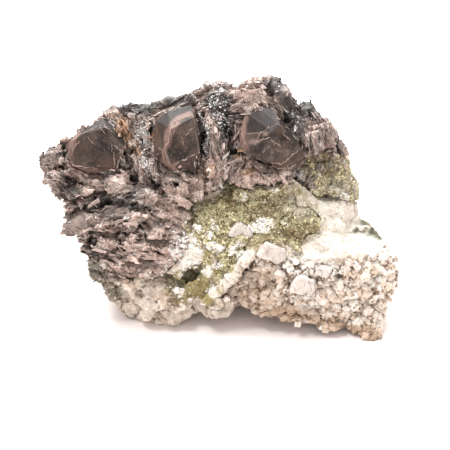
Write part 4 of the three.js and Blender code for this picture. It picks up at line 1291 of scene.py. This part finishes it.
def skin_grains(skin, outline, neighbours, variants, rng):
    """Grains on the skin, and on its neighbours where they are near it or inside its outline."""

    def border(p, n):
        near = step(FRINGE_REACH, FRINGE_REACH / 3, distance_to(skin.points, p))
        zone = Display(p, 3.0).within(outline, 6) * frontal(p)
        crack = Display(p).along(CRACK, 3.0)
        return np.maximum(near, zone) * lit(n) * 0.8 * (1 - crack)

    found = sampled([skin], lambda p, n: lit(n), SKIN_GRAIN_SPACING, rng)
    found += sampled(neighbours, border, FRINGE_GRAIN_SPACING, rng)
    places, _ = stacked(found)
    count = len(places)
    view = Display(places, 3.0)
    blobs = view.over(WHITE_BLOBS, 0.3)
    size = rng.uniform(0.3, 1.0, count) + 0.5 * blobs
    turns = any_axes(count, rng)
    sizes = size[:, None] * rng.uniform(0.5, 1.3, (count, 3))
    white = blobs * 0.9 + patchy(places, 3.4, 521, 0.55, 0.8) * 0.3
    pale = np.maximum(view.within(PALE_SKIN, 6), view.over(PALE_SPOTS))
    values = {
        "own": rng.beta(0.9, 0.6, count) * (1 - 0.4 * view.over(EPIDOTE_SHADE)),
        "pale": at_random(pale * 0.8, rng) * 1.0,
        "brown": at_random(patchy(places, 2.4, 551, 0.0, 0.5) * 0.6, rng) * 0.8,
        "white": at_random(white, rng) * 0.95,
        "recess": np.zeros(count),
    }
    return scattered(variants, places, turns, sizes, values, rng)


def make_epidote(material, neighbours):
    """The two skins and their grains."""
    variants = grain_variants(8, 7, 603)
    skins = []
    for index, (side, outline) in enumerate({"centre": EPIDOTE, "right": EPIDOTE_RIGHT}.items()):
        node = "epidote_" + side
        skin = roughened(remeshed(node, EPIDOTE_VOXEL), epidote_relief)
        make_piece(node + "_skin", skin, material, [node])
        rng = np.random.default_rng(601 + index)
        grains = skin_grains(skin, outline, neighbours, variants, rng)
        make_piece(node + "_grains", grains, material)
        skins.append(skin)
    return skins


# ---- the large crystals
def bevelled(node, width, cut):
    """The node's crystal with bevelled edges and faces split to about cut mm, in drawn axes."""
    work = bmesh.new()
    work.from_mesh(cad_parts[node].data)
    bmesh.ops.remove_doubles(work, verts=work.verts, dist=1e-6)
    bmesh.ops.dissolve_limit(work, angle_limit=math.radians(2), verts=work.verts, edges=work.edges)
    bmesh.ops.bevel(work, geom=work.edges, offset=width * MM, segments=1, affect="EDGES", profile=0.5)
    bmesh.ops.triangulate(work, faces=work.faces)
    for _ in range(8):  # each round halves the edges that are still too long
        long_edges = [e for e in work.edges if e.calc_length() > cut * MM]
        if not long_edges:
            break
        bmesh.ops.subdivide_edges(work, edges=long_edges, cuts=1)
        bmesh.ops.triangulate(work, faces=work.faces)
    work.verts.index_update()
    points = np.array([v.co[:] for v in work.verts]) / MM - SHIFT
    faces = np.array([[v.index for v in f.verts] for f in work.faces])
    work.free()
    return in_order(points, faces)


def hull_planes(node):
    """Unit normals and offsets of the facets of the node's crystal, in drawn axes."""
    planes = {}
    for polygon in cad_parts[node].data.polygons:
        normal = np.array(polygon.normal)
        offset = float(normal @ (np.array(polygon.center) / MM - SHIFT))
        planes[tuple(np.round(normal, 2))] = (normal, offset)
    return np.array([n for n, _ in planes.values()]), np.array([d for _, d in planes.values()])


def edge_distance(node, points):
    """About how far each point on the node's crystal is from the nearest edge of its facet."""
    normals, offsets = hull_planes(node)
    depth = offsets[None] - points @ normals.T
    own_plane = np.argmin(depth, axis=1)
    lean = np.sqrt(np.clip(1 - (normals @ normals.T) ** 2, 0.01, 1))
    reach = depth / lean[own_plane]
    reach[np.arange(len(reach)), own_plane] = np.inf
    return reach.min(axis=1)


def make_axinite(material):
    """The large crystals, with a painted highlight along their edges, broken into patches."""
    shapes = []
    for name in LARGE_CRYSTALS:
        shape = bevelled(name, CRYSTAL_BEVEL, CRYSTAL_CUT)
        broken = patchy(shape.points, 2.4, 701, -0.1, 0.7)
        shape.values = {
            # Painted highlight along the facets' edges, broken into patches.
            "edge": np.clip(step(0.4, 0.05, edge_distance(name, shape.points)) * broken, 0, 1),
            # The bevels' pink tone, with a painted highlight.
            "pink": Display(shape.points, 2.5).bevels() * 0.9,
            "brown": patchy(shape.points, 6.0, 711, -0.2, 0.5),
            # Painted shade on the facets that face up.
            "top": step(0.35, 0.6, shape.normals()[:, 2]) * 0.85,
        }
        make_piece(name + "_crystal", shape, material, [name])
        shapes.append(shape)
    return shapes


# ---- the calcite
def calcite_relief(p, normals):
    """Heights of the calcite's steps, and the mask for its cleavage cracks."""
    _, margin, mark = cells(p, CLEAVAGE_SIZE, 771)
    split = step(0.1, 0.0, margin)
    return fractal(p, 3.2, 751) * 0.3 + (mark - 0.5) * 0.55 - split * 0.12 + 0.15, {"split": split}


def rounded(shape, rounds):
    """The shape with its corners softened, by moving each point towards its neighbours."""
    pairs = np.vstack([shape.faces[:, [0, 1]], shape.faces[:, [1, 2]], shape.faces[:, [2, 0]]])
    pairs = np.vstack([pairs, pairs[:, ::-1]])
    shares = np.bincount(pairs[:, 0], minlength=len(shape.points))[:, None]
    points = shape.points
    for _ in range(rounds):
        total = np.zeros_like(points)
        np.add.at(total, pairs[:, 0], points[pairs[:, 1]])
        points = points * 0.4 + total / shares * 0.6
    return Shape(points, shape.faces)


def make_calcite(material):
    """The calcite crystals; returns all their points."""
    points = []
    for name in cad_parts:
        if name.startswith("calcite_"):
            solid = rounded(remeshed(name, CALCITE_VOXEL), CALCITE_ROUNDING)
            shape = roughened(solid, calcite_relief)
            make_piece(name + "_crystal", shape, material, [name])
            points.append(shape.points)
    return np.vstack(points)


# ---- floor, light and camera
def make_stage():
    mesh = bpy.data.meshes.new("floor")
    corners = [(x * FLOOR_HALF, y * FLOOR_HALF, 0) for x, y in ((-1, -1), (1, -1), (1, 1), (-1, 1))]
    mesh.from_pydata(corners, [], [(0, 1, 2, 3)])
    floor = add_object("floor", mesh)
    nodes = Nodes("floor")
    mesh.materials.append(nodes.finish(colour(243, 234, 231, light=1.0), 0.8, 0.2))


def add_area(name, at, target, size, energy):
    light = bpy.data.lights.new(name, "AREA")
    light.size = size * MM
    light.energy = energy
    holder = add_object(name, light)
    holder.location = Vector(at) * MM
    holder.rotation_euler = (Vector(target) * MM - holder.location).to_track_quat("-Z", "Y").to_euler()


def make_lights():
    world = bpy.data.worlds.new("studio")
    world.use_nodes = True
    background = world.node_tree.nodes["Background"]
    background.inputs["Color"].default_value = (1.0, 0.985, 0.98, 1.0)
    background.inputs["Strength"].default_value = 1.0
    bpy.context.scene.world = world
    add_area("key", **KEY_LIGHT)
    add_area("glint", **GLINT_LIGHT)


def make_camera():
    camera = bpy.data.cameras.new("camera")
    camera.sensor_width = CAMERA_SENSOR
    camera.lens = CAMERA_LENS
    holder = add_object("camera", camera)
    holder.location = Vector((CAMERA_AT + SHIFT) * MM)
    holder.rotation_euler = (math.radians(90 - CAMERA_DOWN), 0, 0)
    bpy.context.scene.camera = holder


# ---- the scene
calcite = make_calcite(calcite_material())
rock = make_matrix(rock_material(), grain_material(), calcite)
crust, rough = make_crust(crust_material())
skins = make_epidote(epidote_material(), [crust, rock])
crystals = make_axinite(crystal_material())
laths = lath_material()
make_laths(crust, rough, crystals, skins, laths)
make_sparkles([crust] + rough, bpy.data.materials["matrix_grains"])
make_strokes([crust] + crystals, laths)
make_stage()
make_lights()
make_camera()
bpy.context.scene.view_settings.view_transform = "Standard"
